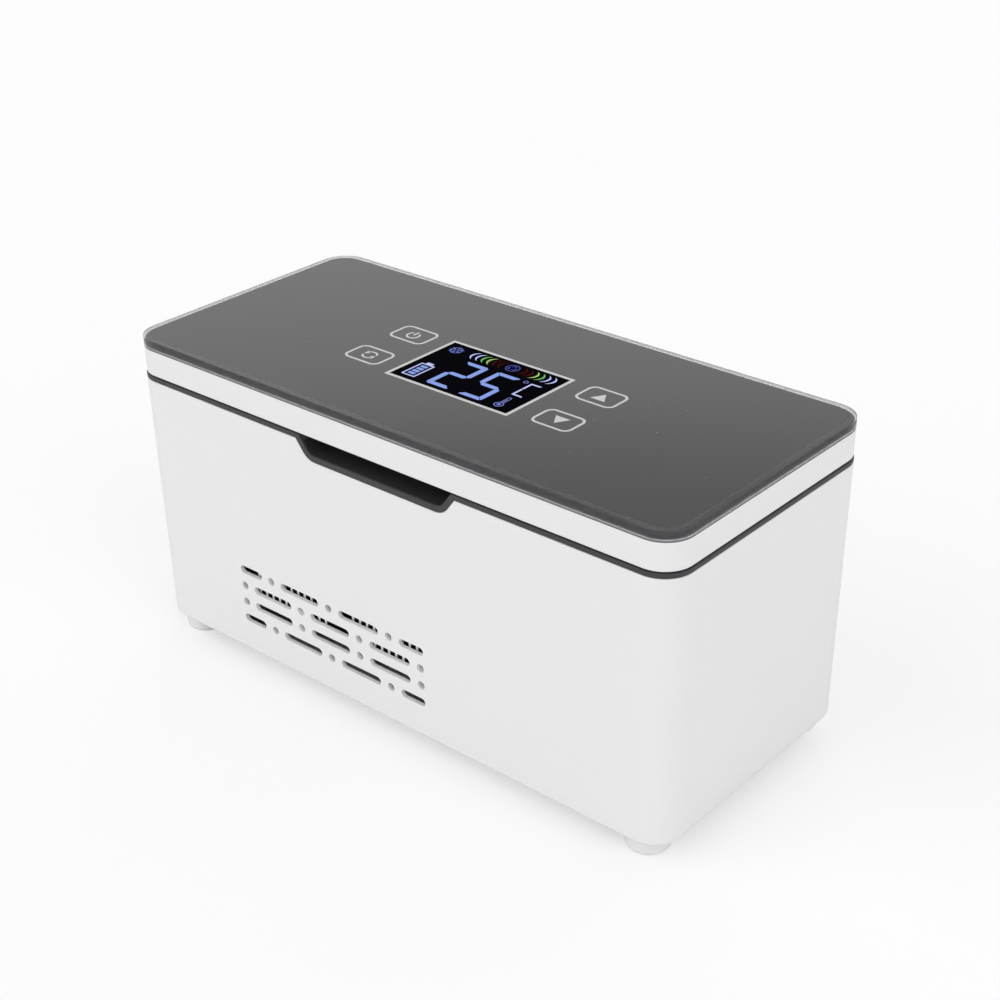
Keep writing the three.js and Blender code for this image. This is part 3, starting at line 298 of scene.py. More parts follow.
def stacked(outline, stations):
    """Rings of an outline at stations of (inset, height)."""
    return [(outline(inset, z), z) for inset, z in stations]


def loft(name, rings, looped=False):
    """A skin over rings of (outline, height): capped at both ends, or closed on the first."""
    count = len(rings[0][0])
    last = len(rings) - 1
    points = [(x, y, z) for outline, z in rings for x, y in outline]
    faces = []
    for low in range(last + looped):
        faces += strip(low * count, (low + 1) % len(rings) * count, count)
    if not looped:
        faces.append(tuple(reversed(range(count))))
        faces.append(tuple(range(last * count, (last + 1) * count)))
    return new_piece(name, points, faces)


def prisms(name, outlines, low, high, upright=True):
    """Prisms of outlines, or of (outer, inner) pairs; upright, or from front to rear."""
    points = []
    faces = []
    for outline in outlines:
        rings = outline if isinstance(outline, tuple) else (outline,)
        count = len(rings[0])
        start = len(points)
        for ring in rings:
            for level in (low, high):
                points += [(a, b, level) if upright else (a, level, b) for a, b in ring]
        loops = [start, start + count]
        if len(rings) == 2:
            loops += [start + 3 * count, start + 2 * count, start]
        else:
            faces.append(tuple(range(start, start + count)))
            faces.append(tuple(range(start + count, start + 2 * count)))
        for a, b in zip(loops, loops[1:]):
            faces += strip(a, b, count)
    return new_piece(name, points, faces)


def settle(piece):
    """Makes what the modifiers give the piece's own mesh."""
    bpy.context.view_layer.update()
    shown = piece.evaluated_get(bpy.context.evaluated_depsgraph_get())
    shaped = bpy.data.meshes.new_from_object(shown)
    piece.modifiers.clear()
    piece.data = shaped


def carve(piece, tool, operation="DIFFERENCE"):
    """Cuts the tool out of the piece, or joins it on, and puts the tool away."""
    step = piece.modifiers.new("carve", "BOOLEAN")
    step.operation = operation
    step.solver = "EXACT"
    step.object = tool
    settle(piece)
    bpy.data.objects.remove(tool)


def cut(piece, outlines, low, high, upright=True, operation="DIFFERENCE"):
    """Cuts prisms out of the piece, or joins them on."""
    carve(piece, prisms("tool", outlines, low, high, upright), operation)


def soften(piece, width=0.0, steps=2, sharp=35):
    """Rounds the edges that turn more than an angle, and keeps the flats flat."""
    if width:
        edges = piece.modifiers.new("edges", "BEVEL")
        edges.width = width
        edges.segments = steps
        edges.limit_method = "ANGLE"
        edges.angle_limit = math.radians(sharp)
        settle(piece)
    piece.data.shade_smooth()
    piece.data.set_sharp_from_angle(angle=math.radians(sharp))
    flats = piece.modifiers.new("flats", "WEIGHTED_NORMAL")
    flats.keep_sharp = True
    settle(piece)


def dress(piece, material, body, slot, *nodes):
    """Gives a piece its material and its body, and hides the solids that it stands for."""
    piece.data.materials.clear()
    piece.data.materials.append(material)
    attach(piece, body)
    if nodes:
        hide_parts(*nodes)


def seen(red, green, blue):
    """A colour as a screen shows it, 0 to 255, in the light that materials use."""
    shares = [level / 255 for level in (red, green, blue)]
    return (*(s / 12.92 if s <= 0.04045 else ((s + 0.055) / 1.055) ** 2.4 for s in shares), 1.0)


def middle_of(node):
    """The middle of a solid's box, seen from above."""
    low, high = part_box(node)
    return (low.x + high.x) / 2, (low.y + high.y) / 2


def shell_outline(inset, z):
    off = shell_lean * (shell_top - z) / (shell_top - shell_bottom) + inset
    return rounded(case_length - 2 * off, case_depth - 2 * off, case_radius - off)


def edge_stations(radius, inset, z, turn_from, turn_to, steps=4):
    """(inset, height) round an edge; a turn of 0 looks out of the side and 90 looks up."""
    return [(inset - a, z + b) for a, b in arc(0, 0, radius, turn_from, turn_to, steps)]


def side_stations(low, high, low_radius, high_radius, steps=4):
    """(inset, height) up a side whose lower and upper edges are round."""
    lower = edge_stations(low_radius, low_radius, low + low_radius, -90, 0, steps)
    return lower + edge_stations(high_radius, high_radius, high - high_radius, 0, 90)


def notch_outline(inset, top):
    """The notch in length and height, up to a height, with its round corners drawn in."""
    radius = notch_radius - inset
    slope = math.radians(notch_slope)
    rise = top - notch_middle + radius * math.cos(slope)
    half_top = notch_half_flat + radius * math.sin(slope) + rise / math.tan(slope)
    left = arc(-notch_half_flat, notch_middle, radius, 270 - notch_slope, 270, 14)
    right = arc(notch_half_flat, notch_middle, radius, 270, 270 + notch_slope, 14)
    return [(-half_top, top), *left, *right, (half_top, top)]


def vent_outlines():
    """Slots, dots and the rings round the dots, in staggered rows that end in dots or half slots."""
    lengths = {"slot": vent_slot, "dot": vent_height, "half": (vent_slot + vent_height) / 2}
    long_row = ["half", "dot", "slot", "dot", "slot", "dot", "half"]
    dot_row = ["dot", "slot", "dot", "slot", "dot", "slot", "dot"]
    row_length = 4 * vent_height + 3 * vent_slot + 6 * vent_gap
    radius = vent_height / 2
    slots, dots, rings = [], [], []
    for level, row in enumerate((long_row, dot_row, dot_row, long_row)):
        z = vent_lowest + level * vent_pitch
        x = middle_of("heat_sink")[0] + vent_shift - row_length / 2
        for kind in row:
            x_to = x + lengths[kind]
            if kind == "dot":
                dots.append(disc(x + radius, z, radius, 24))
                rings.append(disc(x + radius, z, ring_radius, 32))
            else:
                right_end = arc(x_to - radius, z, radius, -90, 90, 12)
                slots.append(right_end + arc(x + radius, z, radius, 90, 270, 12))
            x = x_to + vent_gap
    return slots, dots, rings


stations = [(shell_lip, base_top), (shell_lip, shell_bottom)]
stations += side_stations(shell_bottom, shell_top, shell_foot_radius, edge_radius, 8)
stations += [(shell_wall, shell_top), (shell_wall, base_top)]
shell = loft("shell", stacked(shell_outline, stations), looped=True)
front_y = -case_depth / 2
in_front, inside = front_y - cut_overrun, front_y + wall_reach
slots, dots, rings = vent_outlines()
cut(shell, rings, front_y + ring_root, front_y + ring_reach, False, "UNION")
cut(shell, rings, -front_y - ring_reach, -front_y - ring_root, False, "UNION")
cut(shell, [notch_outline(0, shell_top + cut_overrun)], in_front, inside, False)
cut(shell, slots + dots, in_front, inside, False)
cut(shell, slots + dots, -inside, -in_front, False)
socket_x = middle_of("power_inlet")[0]
socket_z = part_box("power_inlet")[0].z + socket_rise
cut(shell, [disc(socket_x, socket_z, socket_radius + socket_room)], -inside, -in_front, False)
soften(shell, hole_edge, 3)


def white_plastic(name):
    """White ABS with a fine spark finish and a trace of flow in its gloss."""
    material, wire = new_finish(name)
    flow = wire.noise(14.0)
    grain = wire.noise(3000.0)
    wire.surface(
        Base_Color=flow.blend(seen(238, 238, 239), seen(240, 240, 241)),
        Roughness=0.34 + 0.05 * flow + 0.03 * grain,
        Specular_IOR_Level=0.4,
        Coat_Weight=0.10 + 0.06 * flow,
        Coat_Roughness=0.12,
        Normal=wire.bump(grain, 0.1, 0.02 * mm),
    )
    return material


housing_white = white_plastic("housing_white")
dress(shell, housing_white, "case", "white_plastic", "housing_shell")

# Base cover: a flat white moulding in the shell's lower opening, with the fan's intake grille.
# Four countersunk holes take its screws and four round ones the studs of the feet.
base_low, base_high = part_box("base_cover")
base_inset = shell_lip + 0.3 * mm
base_edge = 0.2 * mm
fan_x = middle_of("fan_frame")[0]
grille_radius = 27 * mm
grille_slot = 4.2 * mm
grille_rib = 3 * mm
grille_spokes = 6
stud_radius = 2 * mm
stud_length = 2.2 * mm
screw_radius = 1.4 * mm
head_radius = 2.8 * mm
head_height = 1.4 * mm
close_fit = 0.12 * mm
screw_room = 0.3 * mm
corner_names = ["front_left", "front_right", "rear_left", "rear_right"]


def corner_discs(start, radius, steps=24):
    """Round outlines on the four solids of one kind, one in each corner."""
    return [disc(*middle_of(f"{start}_{corner}"), radius, steps) for corner in corner_names]


def grille_outlines():
    """Ring slots between straight spokes."""
    sector = 360 / grille_spokes
    outlines = []
    outer = grille_radius
    while outer - grille_slot > grille_rib:
        inner = outer - grille_slot
        outer_half = sector / 2 - math.degrees(math.asin(grille_rib / 2 / outer))
        inner_half = sector / 2 - math.degrees(math.asin(grille_rib / 2 / inner))
        for spoke in range(grille_spokes):
            turn = spoke * sector
            far = arc(fan_x, 0, outer, turn - outer_half, turn + outer_half, 16)
            near = arc(fan_x, 0, inner, turn + inner_half, turn - inner_half, 16)
            outlines.append(far + near)
        outer -= grille_slot + grille_rib
    return outlines


base = loft("base", stacked(shell_outline, [(base_inset, base_low.z), (base_inset, base_high.z)]))
holes = grille_outlines() + corner_discs("foot", stud_radius + close_fit)
holes += corner_discs("base_screw", screw_radius + screw_room)
cut(base, holes, base_low.z - cut_overrun, base_high.z + cut_overrun)
seats = corner_discs("base_screw", head_radius + screw_room, 32)
cut(base, seats, base_low.z - cut_overrun, base_low.z + head_height + close_fit)
soften(base, base_edge)
dress(base, housing_white, "case", "white_plastic", "base_cover")

# Feet: four soft white rubber buttons, rounded at the tip, pressed into the base by a stud.
# Their moulded skin is uneven in gloss.
foot_centre = 0.5 * mm
foot_edge = 1.6 * mm
foot_tip_radius = 5.8 * mm
foot_radius = 7.5 * mm
foot_top = shell_bottom - close_fit
foot_shoulder = 0.25 * mm


def turned(name, profile, x=0.0, y=0.0, steps=48):
    """A turned piece on an upright axis, from a profile of (radius, height)."""
    return loft(name, [(disc(x, y, radius, steps), z) for radius, z in profile])


def grained(name, waves, dark, pale, rough, bump, detail=2.0, stretch=(1, 1, 1), tone=None, **others):
    """A finish that varies with one grain: its roughness, its skin by strength and depth, and its
    colour, unless that follows a tone with waves of its own."""
    material, wire = new_finish(name)
    grain = wire.noise(waves, detail, stretch)
    wire.surface(
        Base_Color=(wire.noise(tone) if tone else grain).blend(seen(*dark), seen(*pale)),
        Roughness=rough[0] + (rough[1] - rough[0]) * grain,
        Normal=wire.bump(grain, *bump),
        **others,
    )
    return material


foot_rubber = grained(
    "foot_rubber", 1800.0, (234, 234, 235), (241, 241, 241), (0.48, 0.62), (0.25, 0.03 * mm), tone=90.0,
)
foot_profile = [(foot_centre, 0), *arc(foot_tip_radius, foot_edge, foot_edge, -90, 0, 8)]
foot_profile += [
    (foot_radius, foot_top - foot_shoulder), (foot_radius - foot_shoulder, foot_top),
    (stud_radius, foot_top), (stud_radius, foot_top + stud_length), (foot_centre, foot_top + stud_length),
]
for corner in corner_names:
    foot = turned(f"foot_button_{corner}", foot_profile, *middle_of(f"foot_{corner}"))
    soften(foot)
    dress(foot, foot_rubber, "case", "foot_white", f"foot_{corner}")

# Screws: zinc-plated steel with round heads and a cross recess. Four hold the base cover from
# below, with their heads sunk in it.
head_rounding = [(0.3, 0), (1.6, 0), (2.3, 0.2), (2.65, 0.6), (2.8, 1.1), (2.8, 1.4)]
tip_centre = 0.2 * mm
recess_half = 1.7 * mm
recess_slot = 0.38 * mm
recess_depth = 0.8 * mm

plated_steel = grained(
    "plated_steel", 900.0, (176, 178, 182), (190, 192, 196), (0.26, 0.40), (0.1, 0.02 * mm), Metallic=1.0,
)


def cross_screw(name, node, body):
    """A screw that points up, with its recess in the underside of its head."""
    x, y = middle_of(node)
    low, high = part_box(node)
    profile = [(radius * mm, low.z + rise * mm) for radius, rise in head_rounding]
    profile += [(screw_radius, low.z + head_height), (screw_radius, high.z - screw_radius)]
    screw = turned(name, [*profile, (tip_centre, high.z)], x, y, 40)
    a, b = recess_slot, recess_half
    cross = [(-a, -b), (a, -b), (a, -a), (b, -a), (b, a), (a, a)]
    cross += [(-dx, -dy) for dx, dy in cross]
    cut(screw, [[(x + dx, y + dy) for dx, dy in cross]], low.z - cut_overrun, low.z + recess_depth)
    soften(screw, 0.05 * mm, 1, 50)
    dress(screw, plated_steel, body, "steel", node)


for corner in corner_names:
    cross_screw(f"base_cover_screw_{corner}", f"base_screw_{corner}", "case")

# Heat sink, cold block and the white ceramic Peltier module between them. The sink is extruded
# aluminium, anodised black and then sawn off, so its fins, which hang in two banks, end close behind
# the vents. The near white of those sawn ends is also painted light from the vents, and the black of
# its other faces is painted shade inside the case. Steel screws clamp the block down.
sink_low, sink_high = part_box("heat_sink")
sink_base = 5 * mm
fins_per_bank = 11
fin_pitch = 3.2 * mm
fin_thickness = 1.1 * mm
fin_reach = 1.35 * mm
bank_width = (fins_per_bank - 1) * fin_pitch + fin_thickness
fin_top = sink_high.z - sink_base


def refinish(material, *names):
    """Gives solids that stay in view their material."""
    for name in names:
        mesh = cad_nodes[name].data
        mesh.materials.clear()
        mesh.materials.append(material)


def numbered(start):
    return [name for name in sorted(cad_nodes) if name.startswith(start)]


bare_aluminium = grained(
    "bare_aluminium", 60.0, (236, 237, 239), (244, 245, 247), (0.42, 0.56), (0.15, 0.02 * mm),
    3.0, (1.0, 14.0, 14.0), Metallic=0.1,
)
# Painted light and shade: faces that look to the front or rear are near white, as if lit through the vents,
# and all others black, as if shaded inside the case.
sink_lit_and_shaded, wire = new_finish("sink_lit_and_shaded")
sawn_lit_ends = wire.facing("Y").step(0.4, 0.6)
drawn = wire.noise(60.0, 3.0, (14.0, 1.0, 14.0))
anodised_shade = drawn.blend(seen(24, 24, 26), seen(32, 32, 34))
wire.surface(
    Base_Color=sawn_lit_ends.blend(anodised_shade, seen(246, 247, 249)),
    Metallic=0.1,
    Roughness=0.42 + 0.14 * drawn,
    Normal=wire.bump(drawn, 0.15, 0.02 * mm),
)
profile = [(sink_low.x, sink_high.z)]
for bank_from in (sink_low.x, sink_high.x - bank_width):
    for fin in range(fins_per_bank):
        x = bank_from + fin * fin_pitch
        x_to = x + fin_thickness
        profile += [(x, fin_top), (x, sink_low.z), (x_to, sink_low.z), (x_to, fin_top)]
profile.append((sink_high.x, sink_high.z))
sink = prisms("heat_sink_extrusion", [profile], sink_low.y - fin_reach, sink_high.y + fin_reach, False)
clamp_holes = [disc(*middle_of(name), screw_radius + close_fit, 24) for name in numbered("clamp_screw")]
cut(sink, clamp_holes, fin_top - cut_overrun, sink_high.z + cut_overrun)
screw_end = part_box("fan_screw_front_left")[1].z + close_fit
cut(sink, corner_discs("fan_screw", screw_radius + close_fit), sink_low.z - cut_overrun, screw_end)
soften(sink, 0.1 * mm, 1)
dress(sink, sink_lit_and_shaded, "case", "bare_aluminium", "heat_sink")
refinish(bare_aluminium, "cold_block")
refinish(plated_steel, *numbered("clamp_screw"), *numbered("fan_screw"), "fan_shaft")
white_ceramic = grained(
    "white_ceramic", 1800.0, (238, 236, 230), (244, 242, 238), (0.45, 0.55), (0.1, 0.02 * mm),
)
refinish(white_ceramic, "peltier_module")

# Fan: a black glass-filled frame with three struts, and a rotor with seven raked blades that
# turns on a steel shaft. It shows through the grille in the base.
fan_low, fan_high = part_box("fan_frame")
fan_size = 60 * mm
fan_bore = 28.6 * mm
fan_corner = 5 * mm
strut_width = 3 * mm
strut_height = 2 * mm
strut_root = 0.6 * mm
bearing_radius = 3.5 * mm
bearing_height = 6 * mm
shaft_radius = 1.5 * mm
rotor_low, rotor_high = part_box("fan_rotor")
rotor_middle = (rotor_low.z + rotor_high.z) / 2
hub_radius = 13 * mm
hub_wall = 1.6 * mm
hub_round = 1.2 * mm
hub_centre = 0.2 * mm
hub_low, hub_high = rotor_middle - 5.25 * mm, rotor_middle + 5.25 * mm
blade_count = 7
blade_rings = 7
blade_steps = 10
blade_root = hub_radius - 0.8 * mm
blade_tip = fan_bore - 0.7 * mm
blade_pitch = (48, 30)
blade_chord = (10 * mm, 15 * mm)
blade_thickness = 1.2 * mm
blade_camber = 1.4 * mm


def black_plastic(name, level):
    """Black moulded plastic, a little grey where the glass fibres reach the skin."""
    dark, pale = (level, level, level + 1), (level + 6, level + 6, level + 7)
    return grained(name, 2600.0, dark, pale, (0.42, 0.56), (0.25, 0.03 * mm), 3.0, tone=60.0)


fan_black = black_plastic("fan_black", 18)
fan_outline = rounded(fan_size, fan_size, fan_corner, (fan_x, 0), 12)
fan_frame = loft("fan_frame_moulding", [(fan_outline, fan_low.z), (fan_outline, fan_high.z)])
fan_through = [disc(fan_x, 0, fan_bore, 96), *corner_discs("fan_screw", screw_radius + screw_room)]
cut(fan_frame, fan_through, fan_low.z - cut_overrun, fan_high.z + cut_overrun)
strut_top = fan_low.z + strut_height
for turn in (90, 210, 330):
    along = Vector((math.cos(math.radians(turn)), math.sin(math.radians(turn))))
    side = Vector((-along.y, along.x)) * strut_width / 2
    near, far = along * hub_radius / 2, along * (fan_bore + strut_root)
    strut = [(fan_x + point.x, point.y) for point in (near - side, far - side, far + side, near + side)]
    cut(fan_frame, [strut], fan_low.z, strut_top, operation="UNION")
carve(fan_frame, turned("plate_tool", [(hub_radius, fan_low.z), (hub_radius, strut_top)], fan_x), "UNION")
bearing = [(bearing_radius, strut_top - mm), (bearing_radius, strut_top + bearing_height)]
carve(fan_frame, turned("bearing_tool", bearing, fan_x), "UNION")
shaft_hole = disc(fan_x, 0, shaft_radius + close_fit, 32)
cut(fan_frame, [shaft_hole], fan_low.z + strut_height / 2, fan_high.z)
soften(fan_frame, 0.25 * mm)
dress(fan_frame, fan_black, "case", "black_plastic", "fan_frame")


def fan_blade(turn):
    """One blade from the hub to near the bore: its chord grows and its rake eases outward."""
    points = []
    for ring in range(blade_rings):
        share = ring / (blade_rings - 1)
        radius = blade_root + (blade_tip - blade_root) * share
        pitch = math.radians(blade_pitch[0] + (blade_pitch[1] - blade_pitch[0]) * share)
        chord = blade_chord[0] + (blade_chord[1] - blade_chord[0]) * share
        for face in (1, -1):
            for step in range(blade_steps + 1):
                spot = face * (step / blade_steps - 0.5)
                fullness = 0.35 + 0.65 * (1 - (2 * spot) ** 4)
                rise = blade_camber * (1 - 4 * spot * spot) + face * blade_thickness / 2 * fullness
                across = spot * chord * math.cos(pitch) - rise * math.sin(pitch)
                up = spot * chord * math.sin(pitch) + rise * math.cos(pitch)
                angle = math.radians(turn) + across / radius
                x, y = fan_x + radius * math.cos(angle), radius * math.sin(angle)
                points.append((x, y, rotor_middle + up))
    count = 2 * (blade_steps + 1)
    last = (blade_rings - 1) * count
    faces = [tuple(range(count)), tuple(range(last, last + count))]
    for low in range(0, last, count):
        faces += strip(low, low + count, count)
    return new_piece("blade_tool", points, faces)


hub_profile = [
    (hub_centre, hub_high - hub_wall), (hub_radius - hub_wall, hub_high - hub_wall),
    (hub_radius - hub_wall, hub_low), (hub_radius, hub_low), (hub_radius, hub_high - hub_round),
]
hub_profile += arc(hub_radius - hub_round, hub_high - hub_round, hub_round, 22, 90, 4)
rotor = turned("fan_rotor_moulding", [*hub_profile, (hub_centre, hub_high)], fan_x, 0, 64)
for blade in range(blade_count):
    carve(rotor, fan_blade(blade * 360 / blade_count), "UNION")
soften(rotor)
dress(rotor, fan_black, "fan", "black_plastic", "fan_rotor")

# Battery pack, boards and the power socket: four cells in shrink sleeve lie in a black cradle
# under the green main board. The socket's collar fills a hole in the rear wall.
socket_length, socket_height = 10 * mm, 11 * mm
socket_depth = 14 * mm
socket_corner = 0.6 * mm
socket_overlap = 0.6 * mm
socket_lip = 0.3 * mm
socket_bore = 2.9 * mm
socket_funnel = 0.4 * mm
socket_pin = 1.0 * mm
pin_tip = [(1.0, 1.7), (0.85, 1.25), (0.5, 1.0)]
socket_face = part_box("power_inlet")[1].y
socket_bore_end = socket_face - 9 * mm
socket_wall_inside = socket_face - shell_wall - 0.3 * mm

cell_sleeve = grained("cell_sleeve", 500.0, (44, 92, 168), (52, 102, 180), (0.3, 0.4), (0.15, 0.03 * mm))
refinish(cell_sleeve, *numbered("battery_cell"))
board_green = grained("board_green", 2200.0, (24, 84, 54), (34, 98, 64), (0.4, 0.5), (0.15, 0.02 * mm))
refinish(board_green, "main_board", "control_board")
refinish(black_plastic("cradle_black", 12), "battery_cradle", "display_module")


def turned_to_rear(name, profile, x, z, steps=48):
    """A turned piece on an axis from front to rear, from a profile of (radius, y)."""
    piece = turned(name, [(radius, -y) for radius, y in profile], 0, 0, steps)
    piece.data.transform(Matrix.Translation((x, 0, z)) @ Matrix.Rotation(math.radians(90), 4, "X"))
    return piece


socket_outline = rounded(socket_length, socket_height, socket_corner, (socket_x, socket_z), 4)
socket_back = socket_wall_inside - socket_depth
socket_block = prisms("power_socket", [socket_outline], socket_back, socket_wall_inside, False)
collar_profile = [
    (socket_radius, socket_wall_inside - socket_overlap), (socket_radius, socket_face - socket_lip),
    (socket_radius - socket_lip, socket_face), (socket_bore + socket_funnel, socket_face),
]
carve(socket_block, turned_to_rear("collar_tool", collar_profile, socket_x, socket_z), "UNION")
bore_profile = [
    (socket_bore, socket_bore_end), (socket_bore, socket_face - socket_funnel),
    (socket_bore + socket_funnel, socket_face), (socket_bore + socket_funnel, socket_face + cut_overrun),
]
carve(socket_block, turned_to_rear("bore_tool", bore_profile, socket_x, socket_z))
soften(socket_block, 0.1 * mm)
dress(socket_block, black_plastic("socket_black", 24), "case", "black_plastic", "power_inlet")
pin_profile = [(socket_pin, socket_bore_end - socket_overlap)]
pin_profile += [(share * socket_pin, socket_face - depth * mm) for share, depth in pin_tip]
centre_pin = turned_to_rear("power_socket_pin", pin_profile, socket_x, socket_z, 32)
soften(centre_pin)
dress(centre_pin, plated_steel, "case", "steel")

# Cold chamber: a deep-drawn aluminium tray with a flat flange, anodised in its natural colour,
# packed round with foam. A steel sensor cap stands out of its left end.
chamber_low, chamber_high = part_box("chamber_liner")
liner_flange = 4 * mm
liner_wall = 1.2 * mm
liner_lip = 0.6 * mm
liner_lip_chamfer = 0.18 * mm
liner_top = chamber_high.z
liner_bottom = chamber_low.z
chamber_length = chamber_high.x - chamber_low.x - 2 * liner_flange
chamber_width = chamber_high.y - chamber_low.y - 2 * liner_flange
chamber_radius = 8 * mm
chamber_fillet = 2.4 * mm
chamber_floor = liner_bottom + liner_wall
sensor_low, sensor_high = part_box("temperature_sensor")
sensor_z = (sensor_low.z + sensor_high.z) / 2
sensor_radius = (sensor_high.z - sensor_low.z) / 2
sensor_hole = 1.32 * mm
sensor_round = 1.2 * mm
sensor_seat = -chamber_length / 2 + close_fit


def chamber_outline(margin, z=0):
    """The chamber's mouth, wider all round by a margin; it is the same at every height."""
    return rounded(chamber_length + 2 * margin, chamber_width + 2 * margin, chamber_radius + margin)


def turned_to_right(name, profile, y, z, steps=48):
    """A turned piece on an axis along the case, from a profile of (radius, x)."""
    piece = turned(name, profile, 0, 0, steps)
    piece.data.transform(Matrix.Translation((0, y, z)) @ Matrix.Rotation(math.radians(90), 4, "Y"))
    return piece


tray = arc(liner_wall - chamber_fillet, liner_bottom + chamber_fillet, chamber_fillet, -90, 0, 6)
tray += [(liner_wall, liner_top - liner_wall), (liner_flange, liner_top - liner_wall)]
tray += [(liner_flange, liner_top), (liner_lip, liner_top)]
tray += [(liner_lip_chamfer, liner_top - liner_lip_chamfer), (0, liner_top - liner_lip)]
tray += arc(-chamber_fillet, chamber_floor + chamber_fillet, chamber_fillet, 0, -90, 8)
liner = loft("chamber_tray", stacked(chamber_outline, tray))
hole = [(sensor_hole, -chamber_length / 2 - cut_overrun), (sensor_hole, sensor_seat)]
carve(liner, turned_to_right("sensor_tool", hole, 0, sensor_z, 24))
soften(liner)
tray_aluminium = grained(
    "tray_aluminium", 90.0, (206, 208, 211), (216, 218, 221), (0.34, 0.44), (0.12, 0.02 * mm),
    3.0, (1.0, 10.0, 10.0), Metallic=0.9,
)
dress(liner, tray_aluminium, "case", "bare_aluminium", "chamber_liner")
cap = [(sensor_radius / 2, sensor_low.x), (sensor_radius / 2, sensor_seat), (sensor_radius, sensor_seat)]
cap.append((sensor_radius, sensor_high.x - sensor_round))
cap += arc(sensor_radius - sensor_round, sensor_high.x - sensor_round, sensor_round, 18, 90, 5)
sensor = turned_to_right("sensor_cap", cap, 0, sensor_z, 32)
soften(sensor)
dress(sensor, plated_steel, "case", "steel", "temperature_sensor")
closed_foam = grained("closed_foam", 1500.0, (26, 26, 28), (38, 38, 40), (0.9, 0.95), (0.6, 0.15 * mm), 3.0)
refinish(closed_foam, "insulation_foam", "lid_insulation")

# Rim frame: a dark grey moulding that closes the housing's top and shows as the seam band.
# It lines the finger notch, holds the chamber's mouth and carries two hinge ears on steel pins.
band_bottom = shell_top + close_fit
band_top = shell_top + 1.7 * mm
band_edge = 0.24 * mm
mouth_margin = 0.6 * mm
mouth_edge = 0.5 * mm
notch_lining = 2.2 * mm
pocket_depth = 12 * mm
lining_front = front_y + 0.1 * mm
lining_top = band_top - 0.3 * mm
pin_low, pin_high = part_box("hinge_pin_right")
pin_radius = 1.0 * mm
pin_edge = 0.25 * mm
hinge_x = (pin_low.x + pin_high.x) / 2
hinge_y = (pin_low.y + pin_high.y) / 2
hinge_z = (pin_low.z + pin_high.z) / 2
hinge_radius = 2.4 * mm
hinge_hole = pin_radius + close_fit
ear_width = 8 * mm
ear_foot = band_bottom + 0.5 * mm


def case_outline(inset, z):
    return rounded(case_length - 2 * inset, case_depth - 2 * inset, case_radius - inset)


def box_prism(name, x_from, x_to, y_from, y_to, z_from, z_to):
    return prisms(name, [[(x_from, y_from), (x_to, y_from), (x_to, y_to), (x_from, y_to)]], z_from, z_to)


def rod_along(radius, x_from, x_to, steps=48):
    """A round tool on the hinge's axis."""
    return turned_to_right("rod_tool", [(radius, x_from), (radius, x_to)], hinge_y, hinge_z, steps)


outside = side_stations(band_bottom, band_top, edge_radius, edge_radius)
mouth = edge_stations(mouth_edge, mouth_margin + mouth_edge, band_top - mouth_edge, 90, 0)
mouth.append((mouth_margin, band_bottom))
rim = loft("rim", stacked(case_outline, outside) + stacked(chamber_outline, mouth), looped=True)
lining_back = front_y + pocket_depth + notch_lining
cut(rim, [notch_outline(close_fit, lining_top)], lining_front, lining_back, False, "UNION")
pocket = notch_outline(notch_lining, band_top + cut_overrun)
cut(rim, [pocket], in_front, front_y + pocket_depth, False)
for end in (-1, 1):
    ear_from, ear_to = end * hinge_x - ear_width / 2, end * hinge_x + ear_width / 2
    ear = rod_along(hinge_radius, ear_from, ear_to)
    ear_front, ear_rear = hinge_y - hinge_radius, hinge_y + hinge_radius
    block = box_prism("ear_foot_tool", ear_from, ear_to, ear_front, ear_rear, ear_foot, hinge_z)
    carve(ear, block, "UNION")
    carve(rim, ear, "UNION")
    carve(rim, rod_along(hinge_hole, ear_from - mm, ear_to + mm, 32))
soften(rim, band_edge, 3)

rim_dark, wire = new_finish("rim_dark")
grain = wire.noise(2600.0, 3.0)
# Painted shade: inside the finger pocket, behind the front face and below the band, the grey is painted
# darker and duller.
pocket_shade = wire.place("Y").step(front_y + 0.5 * mm, front_y + 1.1 * mm)
pocket_shade = pocket_shade * (1 - wire.place("Z").step(band_bottom - 0.3 * mm, band_bottom))
moulded_grey = wire.noise(25.0).blend(seen(57, 57, 59), seen(63, 63, 65))
wire.surface(
    Base_Color=pocket_shade.blend(moulded_grey, seen(34, 34, 36)),
    Roughness=0.42 + 0.1 * grain + 0.3 * pocket_shade,
    Specular_IOR_Level=0.4,
    Normal=wire.bump(grain, 0.3, 0.03 * mm),
)
dress(rim, rim_dark, "case", "dark_plastic", "rim_frame")
refinish(plated_steel, *numbered("rim_magnet"), *numbered("lid_magnet"))
for side in ("left", "right"):
    low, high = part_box(f"hinge_pin_{side}")
    profile = [(pin_radius - pin_edge, low.x), (pin_radius, low.x + pin_edge)]
    profile += [(pin_radius, high.x - pin_edge), (pin_radius - pin_edge, high.x)]
    pin = turned_to_right(f"hinge_rod_{side}", profile, hinge_y, hinge_z, 32)
    soften(pin)
    dress(pin, plated_steel, "case", "steel", f"hinge_pin_{side}")

# Lid frame: a white moulded ring with a deck under the panel. Its rear lower edge is rounded
# about the hinge, where the rim's two ears pass into it between pairs of knuckles.
lid_low, lid_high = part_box("lid_frame")
tape_sink = 0.15 * mm
lid_bottom, lid_top = lid_low.z, lid_high.z - tape_sink
lid_length = lid_high.x - lid_low.x
lid_depth = lid_high.y - lid_low.y
lid_radius = 10 * mm
lid_wall = 2.4 * mm
lid_deck = 1.8 * mm
lid_edge = 0.45 * mm
lid_top_edge = 0.15 * mm
ear_gap = 0.5 * mm
ear_room = ear_width / 2 + ear_gap
knuckle_end = ear_room + 7 * mm
knuckle_front = hinge_y - 3.4 * mm
knuckle_rear = hinge_y + 0.6 * mm


def lid_outline(inset, z=0):
    """The lid's outline, drawn in all round; it is the same at every height."""
    return rounded(lid_length - 2 * inset, lid_depth - 2 * inset, lid_radius - inset)


